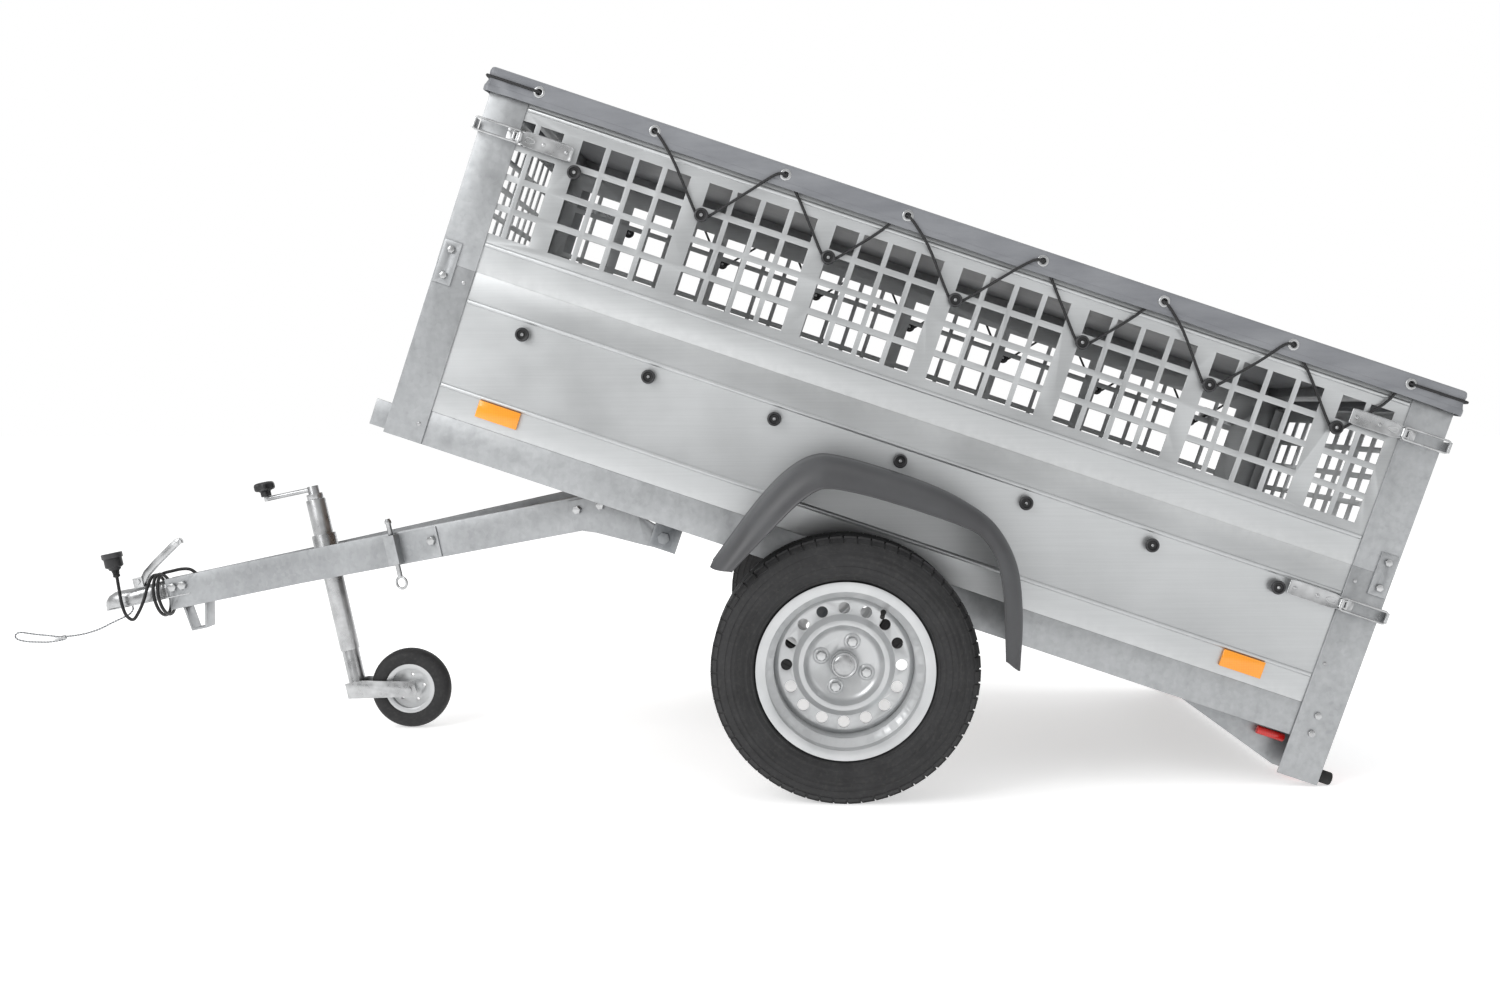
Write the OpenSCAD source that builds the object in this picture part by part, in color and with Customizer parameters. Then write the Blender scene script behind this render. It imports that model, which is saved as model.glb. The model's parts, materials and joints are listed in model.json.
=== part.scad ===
// Tipping single-axle box trailer with ventilated mesh sides and a laced cover.
// The model stands in its tipped position: the box is tilted back on its rubber
// stops and the drawbar rests on the jockey wheel. Millimetres, +X to the rear,
// +Y to the trailer's right, +Z up, floor at Z = 0.

/* [Box] */
// Distance between the outer faces of the two side boards
box_w = 1080; // [960:10:1240]
// Front face of the box, ahead of the axle
box_front = 1076; // [960:2:1260]
// Rear face of the box, behind the axle
box_rear = 1042; // [940:2:1200]
// Angle at which the box is tipped
tilt = 18.45; // [17.5:0.05:19]
// Underside of the side sills above the axle
sill_low = 147; // [140:1:160]
// Height of the side sills
sill_h = 74; // [66:1:90]
// Height of the solid side boards
board_h = 308; // [260:2:380]
// Height of the mesh walls above the boards
mesh_h = 413; // [360:1:520]
// Sheet thickness of boards and mesh
sheet_t = 2; // [1.5:0.5:2.5]
// Sheet thickness of posts and sills
post_t = 3; // [2:0.5:4]
// Width of the front corner posts
front_post_w = 84; // [70:1:100]
// Width of the rear corner posts
rear_post_w = 90; // [76:1:110]
// Thickness of the floor board
floor_t = 12; // [9:1:18]
// Distance that the rear posts reach below the sills
rear_leg = 85; // [80:1:87]

/* [Mesh] */
// Side of one square hole
hole = 51; // [40:1:53]
// Distance between columns of holes
col_pitch = 62.3; // [60:0.1:66]
// Distance between rows of holes
row_pitch = 64.4; // [60:0.1:68]
// Length of one group of columns with its plain strip
group_pitch = 279; // [270:1:290]

/* [Cover] */
// Height of the cover's hanging skirt
skirt_h = 49; // [40:1:60]
// Thickness of the cover cloth
cloth_t = 2.5; // [2:0.5:4]
// Gap between the posts and the skirt
skirt_gap = 8; // [8:0.5:12]
// Diameter of the elastic lacing cord
lace_d = 6; // [4:0.5:6]

/* [Wheels] */
// Radius of the road tyre
tyre_r = 273.5; // [265:0.5:290]
// Section width of the road tyre
tyre_w = 155; // [135:1:175]
// Distance from the centre line to the middle of the tyre
track_half = 642; // [635:1:680]

/* [Fenders] */
// Distance from the centre line to the outer face of the fender skirt
fender_out = 740; // [730:1:780]
// Thickness of the fender plastic
fender_t = 4; // [3:0.5:5]

/* [Drawbar] */
// Angle at which the drawbar runs down to the front
dip = 12; // [10:0.1:14]
// Length of the channels ahead of the pivot
bar_len = 1278; // [1200:2:1360]
// Height of the drawbar channels
bar_h = 78; // [70:1:84]
// Sheet thickness of the drawbar channels
bar_t = 3; // [3:0.5:4]
// Radius of the coupling's ball socket
socket_r = 25.4; // [25.4:0.1:25.6]

/* [Jockey wheel] */
// Outer diameter of the clamped tube
tube_d = 48; // [48:1:60]
// Radius of the jockey wheel
jockey_r = 100; // [90:1:110]
// Width of the jockey wheel
jockey_w = 50; // [40:1:60]
// Trail of the jockey wheel behind its tube
trail = 131; // [125:1:140]

/* [Hidden] */
$fn = 48;
gap = 0.3;

// heights of the box, measured square to its floor from the axle
side = box_w/2;
post_side = side + post_t;
sill_top = sill_low + sill_h;
board_top = sill_top + board_h;
frame_top = board_top + mesh_h;
floor_low = sill_top + 19;
member_low = sill_low + 8;
member_top = floor_low - post_t;
front_in = box_front - post_t;
mesh_in = front_in - sheet_t;
rear_in = box_rear - post_t;
board_rear = rear_in - 3;
front_post_x = front_post_w - box_front;
rear_post_x = box_rear - rear_post_w;
rib_r = 5;
low_rib = sill_top + 60.5;
high_rib = board_top - 63.5;
mesh_low_rib = board_top + 61;
mesh_high_rib = frame_top - 58.5;
first_row = board_top + 111.3;
rows = 4;
first_col = 52 - 7*group_pitch/2 + 89;
hook_low = board_top - 94;
hook_high = board_top + 260;
hook_x = [for (k = [0:6]) (k - 3)*group_pitch - 19.4];
hook_r = 15;
stem_r = 6;
eyelet_x = [-976, -723, -436.6, -168.8, 126.8, 392.4, 675.4, 933.3];
eyelet_z = frame_top - 19.5;
eyelet_r = 8;
skirt_in = post_side + skirt_gap;
skirt_front = box_front + skirt_gap;
skirt_rear = box_rear + skirt_gap;

// the pivot of the drawbar, in the box's own directions
pivot_x = -447;
pivot_z = sill_low - 42;
pivot_r = 8;
bar_low = 50;
bar_mid = bar_low + bar_h/2;
bar_top = bar_low + bar_h;
nose_x = -bar_len - 137;
nose_r = 33;
tube_x = 407 - bar_len;
tube_low = -141;
tube_high = 245;
tube_bore = tube_d/2 - 2.6;
inner_r = tube_bore - 0.35;

// the axle stands so that the whole object is centred on X = 0
pivot_rel_x = pivot_x*cos(tilt) + pivot_z*sin(tilt);
nose_rel_x = pivot_rel_x + (nose_x - nose_r - 5)*cos(dip) - (bar_low + 30)*sin(dip);
tail_rel_x = (skirt_rear + cloth_t)*cos(tilt) + (frame_top + cloth_t)*sin(tilt);
axle_x = -(nose_rel_x + tail_rel_x)/2;
pivot_world = [axle_x + pivot_rel_x, 0, tyre_r - pivot_x*sin(tilt) + pivot_z*cos(tilt)];

// the rubber stops touch the floor
stop_r = 14;
stop_len = 28;
stop_end = box_rear + stop_len;
stop_z = (stop_end*sin(tilt) - tyre_r)/cos(tilt) + stop_r;

// the jockey wheel touches the floor
wheel_x = tube_x + trail;
wheel_z = (jockey_r - pivot_world[2] - wheel_x*sin(dip))/cos(dip);
fork_h = 40;
fork_in = jockey_w/2 + 4;
fork_z = wheel_z + 22;

module in_box() translate([axle_x, 0, tyre_r]) rotate([0, tilt, 0]) children();
module in_bar() translate(pivot_world) rotate([0, -dip, 0]) children();
module at_axle() translate([axle_x, 0, tyre_r]) children();
module both() { children(); mirror([0, 1, 0]) children(); }
module block(low, high) translate(low) cube(high - low);
module rod_x(p, r, len) translate(p) rotate([0, 90, 0]) cylinder(r = r, h = len);
module rod_y(p, r, len) translate(p) rotate([-90, 0, 0]) cylinder(r = r, h = len);
module rod_z(p, r, len) translate(p) cylinder(r = r, h = len);
module along_x(x0, x1) translate([x0, 0, 0]) rotate([90, 0, 90]) linear_extrude(x1 - x0) children();
module along_y(y0, y1) translate([0, y1, 0]) rotate([90, 0, 0]) linear_extrude(y1 - y0) children();
module hex_head(p, r, h) translate(p) rotate([-90, 0, 0]) cylinder(r = r, h = h, $fn = 6);

// ---- chassis and box -------------------------------------------------------

module sill_profile() polygon([
    [side, sill_low], [side, sill_top], [side - post_t, sill_top], [side - post_t, floor_low],
    [side - 46, floor_low], [side - 46, floor_low - post_t], [side - 2*post_t, floor_low - post_t],
    [side - 2*post_t, sill_top - post_t], [side - post_t, sill_top - post_t],
    [side - post_t, sill_low + post_t], [side - 40, sill_low + post_t], [side - 40, sill_low]]);

module side_sills() color("darkgray") in_box() both() along_x(-mesh_in, rear_in - 31) sill_profile();

// a channel open to the rear, lying across the chassis
module cross_channel(x, w, y0, y1) difference() {
    block([x, y0, member_low], [x + w, y1, member_top]);
    block([x + post_t, y0 - 1, member_low + post_t], [x + w + 1, y1 + 1, member_top - post_t]);
}

hinge_x = box_rear + 6;
hinge_z = sill_low + 18;
lug_y = 448;

module crossmembers() color("darkgray") in_box() {
    end = side - 2*post_t;
    both() cross_channel(-mesh_in + 2, 38, 245, end);
    block([-mesh_in + 2, 46 - side, member_top], [-mesh_in + 40, side - 46, floor_low]);
    for (x = [pivot_x - 28, -60, 330, 640]) cross_channel(x, 80, -end, end);
    cross_channel(rear_post_x + 8, 40, -end, end);
    both() difference() {
        union() {
            block([rear_post_x + 48, lug_y - 12, member_low + 2], [hinge_x, lug_y - 6, member_low + 18]);
            rod_y([hinge_x, lug_y - 12, hinge_z], 8, 6);
        }
        rod_y([hinge_x, lug_y - 13, hinge_z], 5, 8);
    }
    both() rod_y([hinge_x, lug_y - 12, hinge_z], 5, 66);
}

module floor_panel() color("burlywood") in_box()
    block([-mesh_in + gap, -side + sheet_t + gap, floor_low],
          [rear_in - 31, side - sheet_t - gap, floor_low + floor_t]);

// one wall sheet with its stiffening ribs
module ribbed_wall(z0, z1, ribs) {
    block([-mesh_in, side - sheet_t, z0], [board_rear, side, z1]);
    for (z = ribs) intersection() {
        rod_x([front_post_x + 3, side - 1, z], rib_r, rear_post_x - front_post_x - 6);
        block([-box_front, side - sheet_t, z - rib_r], [box_rear, side + rib_r, z + rib_r]);
    }
}

module side_boards() color("silver") in_box() both()
    ribbed_wall(sill_top, board_top, [low_rib, high_rib]);

module front_board() color("silver") in_box() {
    block([-front_in, -side, floor_low], [-mesh_in, side, board_top]);
    for (z = [low_rib, high_rib]) intersection() {
        rod_y([-front_in + 1, -side + 70, z], rib_r, 2*side - 140);
        block([-box_front - rib_r, -side, z - rib_r], [-mesh_in, side, z + rib_r]);
    }
}

// an angle post: one leg on the side, one on the end
module angle_post(x0, x1, z0, z1, end_x, end_leg) {
    block([x0, side, z0], [x1, post_side, z1]);
    block([end_x, post_side - end_leg, z0], [end_x + post_t, post_side, z1]);
}

module lower_posts() color("gray") in_box() both() {
    angle_post(-box_front, front_post_x, sill_low, board_top, -box_front, front_leg);
    angle_post(rear_post_x, box_rear, sill_low - rear_leg, board_top, rear_in, rear_end_leg);
    block([-box_front - 44, side - 44, sill_low + 3], [-box_front, side - 38, sill_low + 60]);
}

// gates of mesh hang between the upper posts on pins near their lower edge
gate_in = 2;
gate_pin = [9, board_top + 16];
gate_pin_r = 5;
front_leg = 60;
rear_end_leg = 40;
front_gate_half = post_side - front_leg - 6;
rear_gate_half = post_side - rear_end_leg - 6;

// the lug that holds one gate pin; x is the outer face of its post, s points inwards
module gate_lug(x, s, half) translate([x, 0, 0]) mirror([s > 0 ? 0 : 1, 0, 0]) difference() {
    block([post_t, half + 0.6, gate_pin[1] - 6], [post_t + 12, side - sheet_t, gate_pin[1] + 6]);
    rod_y([gate_pin[0], half, gate_pin[1]], gate_pin_r + gap, 12);
}

module upper_posts() color("gray") in_box() both() {
    angle_post(-box_front, front_post_x, board_top, frame_top, -box_front, front_leg);
    angle_post(rear_post_x, box_rear, board_top, frame_top, rear_in, rear_end_leg);
    gate_lug(-box_front, 1, front_gate_half);
    gate_lug(box_rear, -1, rear_gate_half);
}

plate_h = 92;
plate_w = 38;
module joining_plates() color("silver") in_box() both()
    for (x = [-box_front + 4, box_rear - 4 - plate_w]) difference() {
        block([x, post_side, board_top - plate_h/2], [x + plate_w, post_side + 4, board_top + plate_h/2]);
        for (z = [-28, 28]) rod_y([x + plate_w/2, side, board_top + z], 4.2, 20);
    }

module wall_holes(x_list, x_min, x_max)
    for (x = x_list, r = [0:rows - 1])
        if (x - hole/2 > x_min && x + hole/2 < x_max)
            translate([x, first_row + r*row_pitch]) square(hole, center = true);

side_cols = [for (g = [-1:6], c = [0:3]) first_col + g*group_pitch + c*col_pitch];

module mesh_sides() color("silver") in_box() both() {
    along_y(side - sheet_t, side) difference() {
        translate([-mesh_in, board_top]) square([mesh_in + board_rear, mesh_h]);
        wall_holes(side_cols, front_post_x - 24, rear_post_x + 1);
    }
    for (z = [mesh_low_rib, mesh_high_rib]) intersection() {
        rod_x([front_post_x + 3, side - 1, z], rib_r, rear_post_x - front_post_x - 6);
        block([-box_front, side, z - rib_r], [box_rear, side + rib_r, z + rib_r]);
    }
}

rail_w = 40;
rail_h = 24;
module upper_end_rails() color("gray") in_box() {
    inner = side - sheet_t;
    for (x = [-mesh_in, board_rear - rail_w]) difference() {
        block([x, -inner, frame_top - rail_h], [x + rail_w, inner, frame_top]);
        block([x + 2, -side, frame_top - rail_h + 2], [x + rail_w - 2, side, frame_top - 2]);
    }
}

// ---- cover and its lacing ---------------------------------------------------

module tarp_cover() color("dimgray") in_box() difference() {
    block([-skirt_front - cloth_t, -skirt_in - cloth_t, frame_top - skirt_h + cloth_t],
          [skirt_rear + cloth_t, skirt_in + cloth_t, frame_top + cloth_t]);
    block([-skirt_front, -skirt_in, frame_top - skirt_h - 1], [skirt_rear, skirt_in, frame_top]);
    for (x = eyelet_x) rod_y([x, -side*2, eyelet_z], eyelet_r, side*4);
}

// a swept tube of eight sides along a list of points
function unit(v) = v/norm(v);
function tangent(p, i) = unit(p[min(i + 1, len(p) - 1)] - p[max(i - 1, 0)]);
function across(p, i, n) = let (t = tangent(p, i)) unit(n - (n*t)*t);
function normals(p, i = 0, n = [0.2, 0.3, 1], out = []) =
    i == len(p) ? out : let (m = across(p, i, n)) normals(p, i + 1, m, concat(out, [m]));

module swept(p, r, sides = 8) {
    n = normals(p);
    ring = [for (i = [0:len(p) - 1], k = [0:sides - 1])
        let (t = tangent(p, i), b = cross(t, n[i]), a = 360*k/sides)
        p[i] + r*(cos(a)*n[i] + sin(a)*b)];
    last = (len(p) - 1)*sides;
    walls = [for (i = [0:len(p) - 2], k = [0:sides - 1])
        [i*sides + k, i*sides + (k + 1) % sides, (i + 1)*sides + (k + 1) % sides, (i + 1)*sides + k]];
    halves = [for (w = walls) each [[w[0], w[2], w[1]], [w[0], w[3], w[2]]]];
    polyhedron(ring, concat(halves, [[for (k = [0:sides - 1]) k]],
        [[for (k = [sides - 1:-1:0]) last + k]]));
}

lace_out = skirt_in + cloth_t + lace_d/2 + 0.6;
lace_in = side + rib_r - 1 + lace_d/2 + 0.4;
lace_hook = side + 6.5;
bend_r = stem_r + lace_d/2 + 0.4;

// through an eyelet: d is 1 going in and -1 coming out
function through(x, d) = [
    [x - 16, d > 0 ? lace_out : lace_in, eyelet_z - (d > 0 ? 0 : 1)],
    [x - 5, d > 0 ? lace_out : lace_in, eyelet_z],
    [x + 5, d > 0 ? lace_in : lace_out, eyelet_z]];
// down from one eyelet, round a hook's stem and up to the next
function round_hook(x, down_y, up_y) = [
    [x - 90, down_y, eyelet_z - 44],
    [x - bend_r - 2, lace_hook, hook_high - 2],
    [x, lace_hook, hook_high - bend_r - 1],
    [x + bend_r + 2, lace_hook, hook_high - 2],
    [x + 90, up_y, eyelet_z - 44]];
side_lace = concat(
    through(eyelet_x[0], 1), through(eyelet_x[1], -1),
    round_hook(hook_x[1], lace_out, lace_out), through(eyelet_x[2], 1),
    round_hook(hook_x[2], lace_in, lace_in), through(eyelet_x[3], -1),
    round_hook(hook_x[3], lace_out, lace_out), through(eyelet_x[4], 1),
    round_hook(hook_x[4], lace_in, lace_in), through(eyelet_x[5], -1),
    round_hook(hook_x[5], lace_out, lace_out), through(eyelet_x[6], 1),
    round_hook(hook_x[6], lace_in, lace_in), through(eyelet_x[7], -1));
corner_q = lace_d/2 + 0.6;
// three points round an upright corner of the skirt; s is -1 at the front and 1 at the rear
function round_corner(x, s) = [for (a = [0, 45, 90])
    [x + s*corner_q*cos(a), skirt_in + cloth_t + corner_q*sin(a), eyelet_z]];
cloth_front = -skirt_front - cloth_t;
cloth_rear = skirt_rear + cloth_t;
right_lace = concat([[cloth_front - corner_q, 0, eyelet_z]], round_corner(cloth_front, -1), side_lace,
    reversed(round_corner(cloth_rear, 1)), [[cloth_rear + corner_q, 0, eyelet_z]]);

module lacing_cord() color("black") in_box() {
    swept(right_lace, lace_d/2);
    mirror([0, 1, 0]) swept(right_lace, lace_d/2);
}

module rope_hook(x, z) {
    rod_y([x, side, z], stem_r, 12);
    rod_y([x, side + 11, z], hook_r, 7);
    rod_y([x, side, z + 14], 3.5, 12);
}
module rope_hooks() color("black") in_box() both() for (x = hook_x) {
    rope_hook(x, hook_high);
    rope_hook(x, hook_low);
}

module side_reflectors() color("orange") in_box() both()
    for (x = [-901, 758]) block([x, side, low_rib - 42], [x + 92, side + 7, low_rib - 5 - gap]);

module body_fasteners() color("silver") in_box() both() {
    for (x = [-box_front + 4 + plate_w/2, box_rear - 4 - plate_w/2], z = [-28, 28])
        hex_head([x, post_side + 4, board_top + z], 8, 6);
    for (z = [17, 57]) hex_head([box_rear - 50, post_side, sill_low + z], 8, 6);
    for (z = [sill_low + 167, board_top - 30]) rod_y([rear_post_x + 16, post_side, z], 4, 2);
    for (z = [sill_low + 40, board_top - 30]) rod_y([front_post_x - 16, post_side, z], 4, 2);
}

// ---- over-centre latches ----------------------------------------------------

// each latch is drawn at the front right; its pin stands at the origin
lever_len = 128;
lever_h = 32;
pin_y = 8.5;
bow_at = [15, 16.5];
front_pin_x = front_post_x - 8;
rear_pin_x = rear_post_x + 14;
latch_high = board_top + 293;
latch_low = board_top - 84;
bow_reach = box_front + front_pin_x + 8;

module at_latch(place) {
    rear = place != "front";
    x = rear ? rear_pin_x : front_pin_x;
    translate([x, post_side, place == "gate" ? latch_low : latch_high])
        mirror([rear ? 1 : 0, 0, 0]) children();
}

module latch_base() {
    block([-16, 0, -14], [12, 2.5, 14]);
    for (z = [-14, 10.5]) block([-5, 0, z], [5, pin_y + 3.5, z + 3.5]);
    rod_z([0, pin_y, -14], 2.4, 28);
}
module latch_lever() difference() {
    union() {
        rod_z([0, pin_y, -10], 5, 20);
        block([6.5, pin_y + 1.5, -lever_h/2], [lever_len, pin_y + 4, lever_h/2]);
        block([0, pin_y + 1.5, -10], [7, pin_y + 4, 10]);
        rod_z([bow_at[0], bow_at[1], -9], 5, 18);
        rod_z([lever_len, pin_y + 5, -lever_h/2], 3.5, lever_h);
    }
    rod_z([0, pin_y, -lever_h], 2.7, 2*lever_h);
    rod_z([bow_at[0], bow_at[1], -lever_h], 2.8, 2*lever_h);
}
module latch_bow(reach) {
    rod_z([bow_at[0], bow_at[1], -13], 2.4, 26);
    for (z = [-13, 13]) rod_x([-reach, bow_at[1], z], 2.4, reach + bow_at[0]);
    rod_z([-reach, bow_at[1], -13], 2.4, 26);
    block([-reach - 2, -20, -12], [-reach + 2, bow_at[1], 12]);
}
rear_reach = box_rear - rear_pin_x + 8;

module latch_bases() color("silver") in_box() both()
    for (place = ["front", "rear", "gate"]) at_latch(place) latch_base();

module lever_right(place) color("silver") in_box() at_latch(place) latch_lever();
module lever_left(place) color("silver") in_box() mirror([0, 1, 0]) at_latch(place) latch_lever();
module bow_right(place) color("silver") in_box() at_latch(place)
    latch_bow(place == "front" ? bow_reach : rear_reach);
module bow_left(place) color("silver") in_box() mirror([0, 1, 0]) at_latch(place)
    latch_bow(place == "front" ? bow_reach : rear_reach);

module lever_front_left() lever_left("front");
module lever_front_right() lever_right("front");
module lever_rear_left() lever_left("rear");
module lever_rear_right() lever_right("rear");
module lever_gate_left() lever_left("gate");
module lever_gate_right() lever_right("gate");
module bow_front_left() bow_left("front");
module bow_front_right() bow_right("front");
module bow_rear_left() bow_left("rear");
module bow_rear_right() bow_right("rear");
module bow_gate_left() bow_left("gate");
module bow_gate_right() bow_right("gate");

// ---- running gear -----------------------------------------------------------

arm_in = 503;
arm_out = 523;
stub_r = 17;
hub_face = track_half - 30;
axle_at = [-118, sill_low - 30];

module axle_beam() color("dimgray") in_box() {
    block([axle_at[0] - 30, -arm_in, axle_at[1] - 30], [axle_at[0] + 30, arm_in, axle_at[1] + 30]);
    both() {
        along_y(arm_in, arm_out) hull() {
            translate(axle_at) circle(r = 30, $fn = 32);
            circle(r = 26, $fn = 32);
        }
        rod_y([0, arm_out, 0], stub_r, hub_face - arm_out - 6);
    }
}

// tyre wall and tread in (radius, width), half of the section
tread_w = tyre_w/2 - 22;
bead_r = 166;
bead_w = 54;
module tyre_section() polygon([
    [bead_r, bead_w + 4], [bead_r + 17, bead_w + 6], [bead_r + 21, bead_w + 15], [bead_r + 34, tyre_w/2 - 2],
    [bead_r + 52, tyre_w/2],
    [tyre_r - 32, tyre_w/2 - 3], [tyre_r - 14, tyre_w/2 - 10], [tyre_r - 3, tread_w], [tyre_r, tread_w - 12],
    [tyre_r, 12 - tread_w], [tyre_r - 3, -tread_w], [tyre_r - 14, 10 - tyre_w/2], [tyre_r - 32, 3 - tyre_w/2],
    [bead_r + 52, -tyre_w/2], [bead_r + 34, 2 - tyre_w/2], [bead_r + 21, -bead_w - 15],
    [bead_r + 17, -bead_w - 6], [bead_r, -bead_w - 4], [bead_r, 8 - bead_w], [bead_r + 12, 6 - bead_w], [bead_r + 40, 12 - tyre_w/2], [tyre_r - 40, 12 - tyre_w/2], [tyre_r - 14, 14 - tread_w],
    [tyre_r - 14, tread_w - 14], [tyre_r - 40, tyre_w/2 - 12], [bead_r + 40, tyre_w/2 - 12],
    [bead_r + 12, bead_w - 6], [bead_r, bead_w - 8]]);
module tyre_body() translate([0, track_half, 0]) rotate([-90, 0, 0])
    rotate_extrude($fn = 96) tyre_section();

// steel rim: a drop-centre barrel, and a dished disc with vent holes
rim_t = 3;
disc_y = 16 - (track_half - hub_face);
module rim_barrel() rotate_extrude($fn = 96) polygon([
    [182, -68], [182, -64], [166, -62], [166, -40], [150, -30], [150, 20], [166, 34], [166, 62], [182, 64],
    [182, 68], [162, 66], [162, 36], [146, 22], [146, -32], [162, -42], [162, -66]]);
module rim_disc() difference() {
    rotate_extrude($fn = 96) polygon([
        [30, 0], [66, 0], [76, 6], [84, 22], [94, 22], [106, 12], [136, 12], [142, 6], [147, 0], [147, -5],
        [143, -5], [139, 1], [133, 8], [104, 8], [92, 18], [86, 18], [80, 4], [68, -4], [30, -4]]);
    for (k = [0:15]) rotate([0, 0, 22.5*k]) translate([119, 0, -20]) cylinder(r = 12, h = 60);
    for (k = [0:3]) rotate([0, 0, 90*k + 20]) translate([50, 0, -20]) cylinder(r = 6.5, h = 60);
}
module wheel_rim() translate([0, track_half, 0]) rotate([-90, 0, 0]) {
    rim_barrel();
    translate([0, 0, -26]) rim_disc();
    hub_z = -30;
    difference() {
        union() {
            translate([0, 0, hub_z - 10]) cylinder(r = 62, h = 10);
            translate([0, 0, hub_z - 48]) cylinder(r = 34, h = 40);
            translate([0, 0, hub_z]) cylinder(r = 28, h = 16);
        }
        translate([0, 0, hub_z - 60]) cylinder(r = stub_r + gap, h = 60 - 5);
        for (k = [0:3]) rotate([0, 0, 90*k + 20]) translate([50, 0, -80]) cylinder(r = 6.2, h = 60);
    }
    for (k = [0:3]) rotate([0, 0, 90*k + 20]) translate([50, 0, 0]) {
        translate([0, 0, -26]) cylinder(r = 9.5, h = 12, $fn = 6);
        translate([0, 0, hub_z - 8]) cylinder(r = 6, h = 14);
    }
}
module tyre_right() color("#2b2b2d") at_axle() tyre_body();
module tyre_left() color("#2b2b2d") at_axle() mirror([0, 1, 0]) tyre_body();
module rim_right() color("silver") at_axle() wheel_rim();
module rim_left() color("silver") at_axle() mirror([0, 1, 0]) wheel_rim();

// fender outline in the box's own directions: outer edge, then edge of the skirt
fender_edge = [[-327, 111], [-270, 291], [-215, 382], [-151, 410], [142, 410], [251, 339], [305, 229], [337, 111]];
fender_lip = [[-281, 122], [-228, 237], [-191, 311], [-149, 351], [130, 357], [183, 341], [235, 279], [292, 127]];
function reversed(v) = [for (i = [len(v) - 1:-1:0]) v[i]];
fender_sheet = [for (i = [0:len(fender_edge) - 1])
    fender_edge[i] + fender_t*1.15*unit(fender_lip[i] - fender_edge[i])];
fender_inner = side + rib_r - 1 + gap;

module fenders() color("#55565a") in_box() both() {
    along_y(fender_inner, fender_out) polygon(concat(fender_edge, reversed(fender_sheet)));
    along_y(fender_out - fender_t, fender_out) polygon(concat(fender_edge, reversed(fender_lip)));
}

// ---- rear end ---------------------------------------------------------------

module rear_light_beam() color("#505256") in_box() {
    both() along_y(side - 40, side - 37) polygon([
        [rear_post_x - 243, sill_low], [rear_post_x, sill_low - 76],
        [rear_post_x + 56, sill_low - 76], [rear_post_x + 56, sill_low]]);
    block([rear_post_x + 52, 40 - side, sill_low - 76], [rear_post_x + 56, side - 40, sill_low]);
}

module rear_lamps() color("firebrick") in_box() both() {
    block([rear_post_x + 56, side - 150, sill_low - 72], [rear_post_x + 80, side - 50, sill_low - 12]);
    rod_x([rear_post_x - 60, side - 28, sill_low - 14], 9, 60);
}

module rubber_bumpers() color("#2a2a2c") in_box() both()
    rod_x([box_rear, side - 14, stop_z], stop_r, stop_len);

// ---- drawbar ----------------------------------------------------------------

// outer edge of one channel, seen from above
bar_edge = [[-bar_len, 32], [78 - bar_len, 32], [348 - bar_len, 62], [-46, 392]];
function inset(p, d) = [for (q = p) [q[0], max(q[1] - d, 12)]];
module bar_strip(d) polygon(concat(bar_edge, reversed(inset(bar_edge, d))));
module lift(z0, z1) translate([0, 0, z0]) linear_extrude(z1 - z0) children();

module channel_bar() {
    lift(bar_low, bar_top) bar_strip(bar_t);
    lift(bar_low, bar_low + bar_t) bar_strip(30);
    lift(bar_top - bar_t, bar_top) bar_strip(30);
}

splay = atan((bar_edge[3][1] - bar_edge[2][1])/(bar_edge[3][0] - bar_edge[2][0]));
module on_splay() translate([bar_edge[2][0], bar_edge[2][1], 0]) rotate([0, 0, splay]) children();

module drawbar_beams() color("gray") in_bar() both() difference() {
    channel_bar();
    for (x = [bar_edge[0][0] + 16, bar_edge[0][0] + 42]) rod_y([x, 0, bar_mid + 16], 6.2, 60);
}

// outer face of the channel's web at a distance x from the pivot
function web_y(x) = bar_edge[2][1] + (x - bar_edge[2][0])*tan(splay);
arm_y = bar_edge[3][1] + 0.2;
arm_t = 5;
module pivot_arms() color("gray") in_bar() both() difference() {
    union() {
        intersection() {
            along_y(200, 500) polygon([[-200, 56], [-200, 122], [-56, 122], [-44, 62], [0, 23],
                [22, 8], [22, -14], [8, -23], [-16, -20], [-150, 40]]);
            lift(-40, 140) polygon([[-200, web_y(-200)], [-46, web_y(-46)], [-44, arm_y], [30, arm_y],
                [30, arm_y + arm_t], [-45, arm_y + arm_t], [-200, web_y(-200) + arm_t/cos(splay)]]);
        }
    }
    rod_y([0, 300, 0], pivot_r + 0.1, 200);
}

bracket_in = arm_y - 1;
bracket_out = arm_y + arm_t + 1;
module tip_brackets() color("gray") in_box() translate([pivot_x, 0, pivot_z]) both() {
    for (y = [bracket_in - 4, bracket_out])
        difference() {
            block([-28, y, -26], [34, y + 4, member_low - pivot_z]);
            rod_y([0, y - 1, 0], pivot_r, 6);
        }
    rod_y([0, bracket_in - 8, 0], pivot_r, bracket_out - bracket_in + 14);
    hex_head([0, bracket_out + 4, 0], 14, 8);
}

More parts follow.
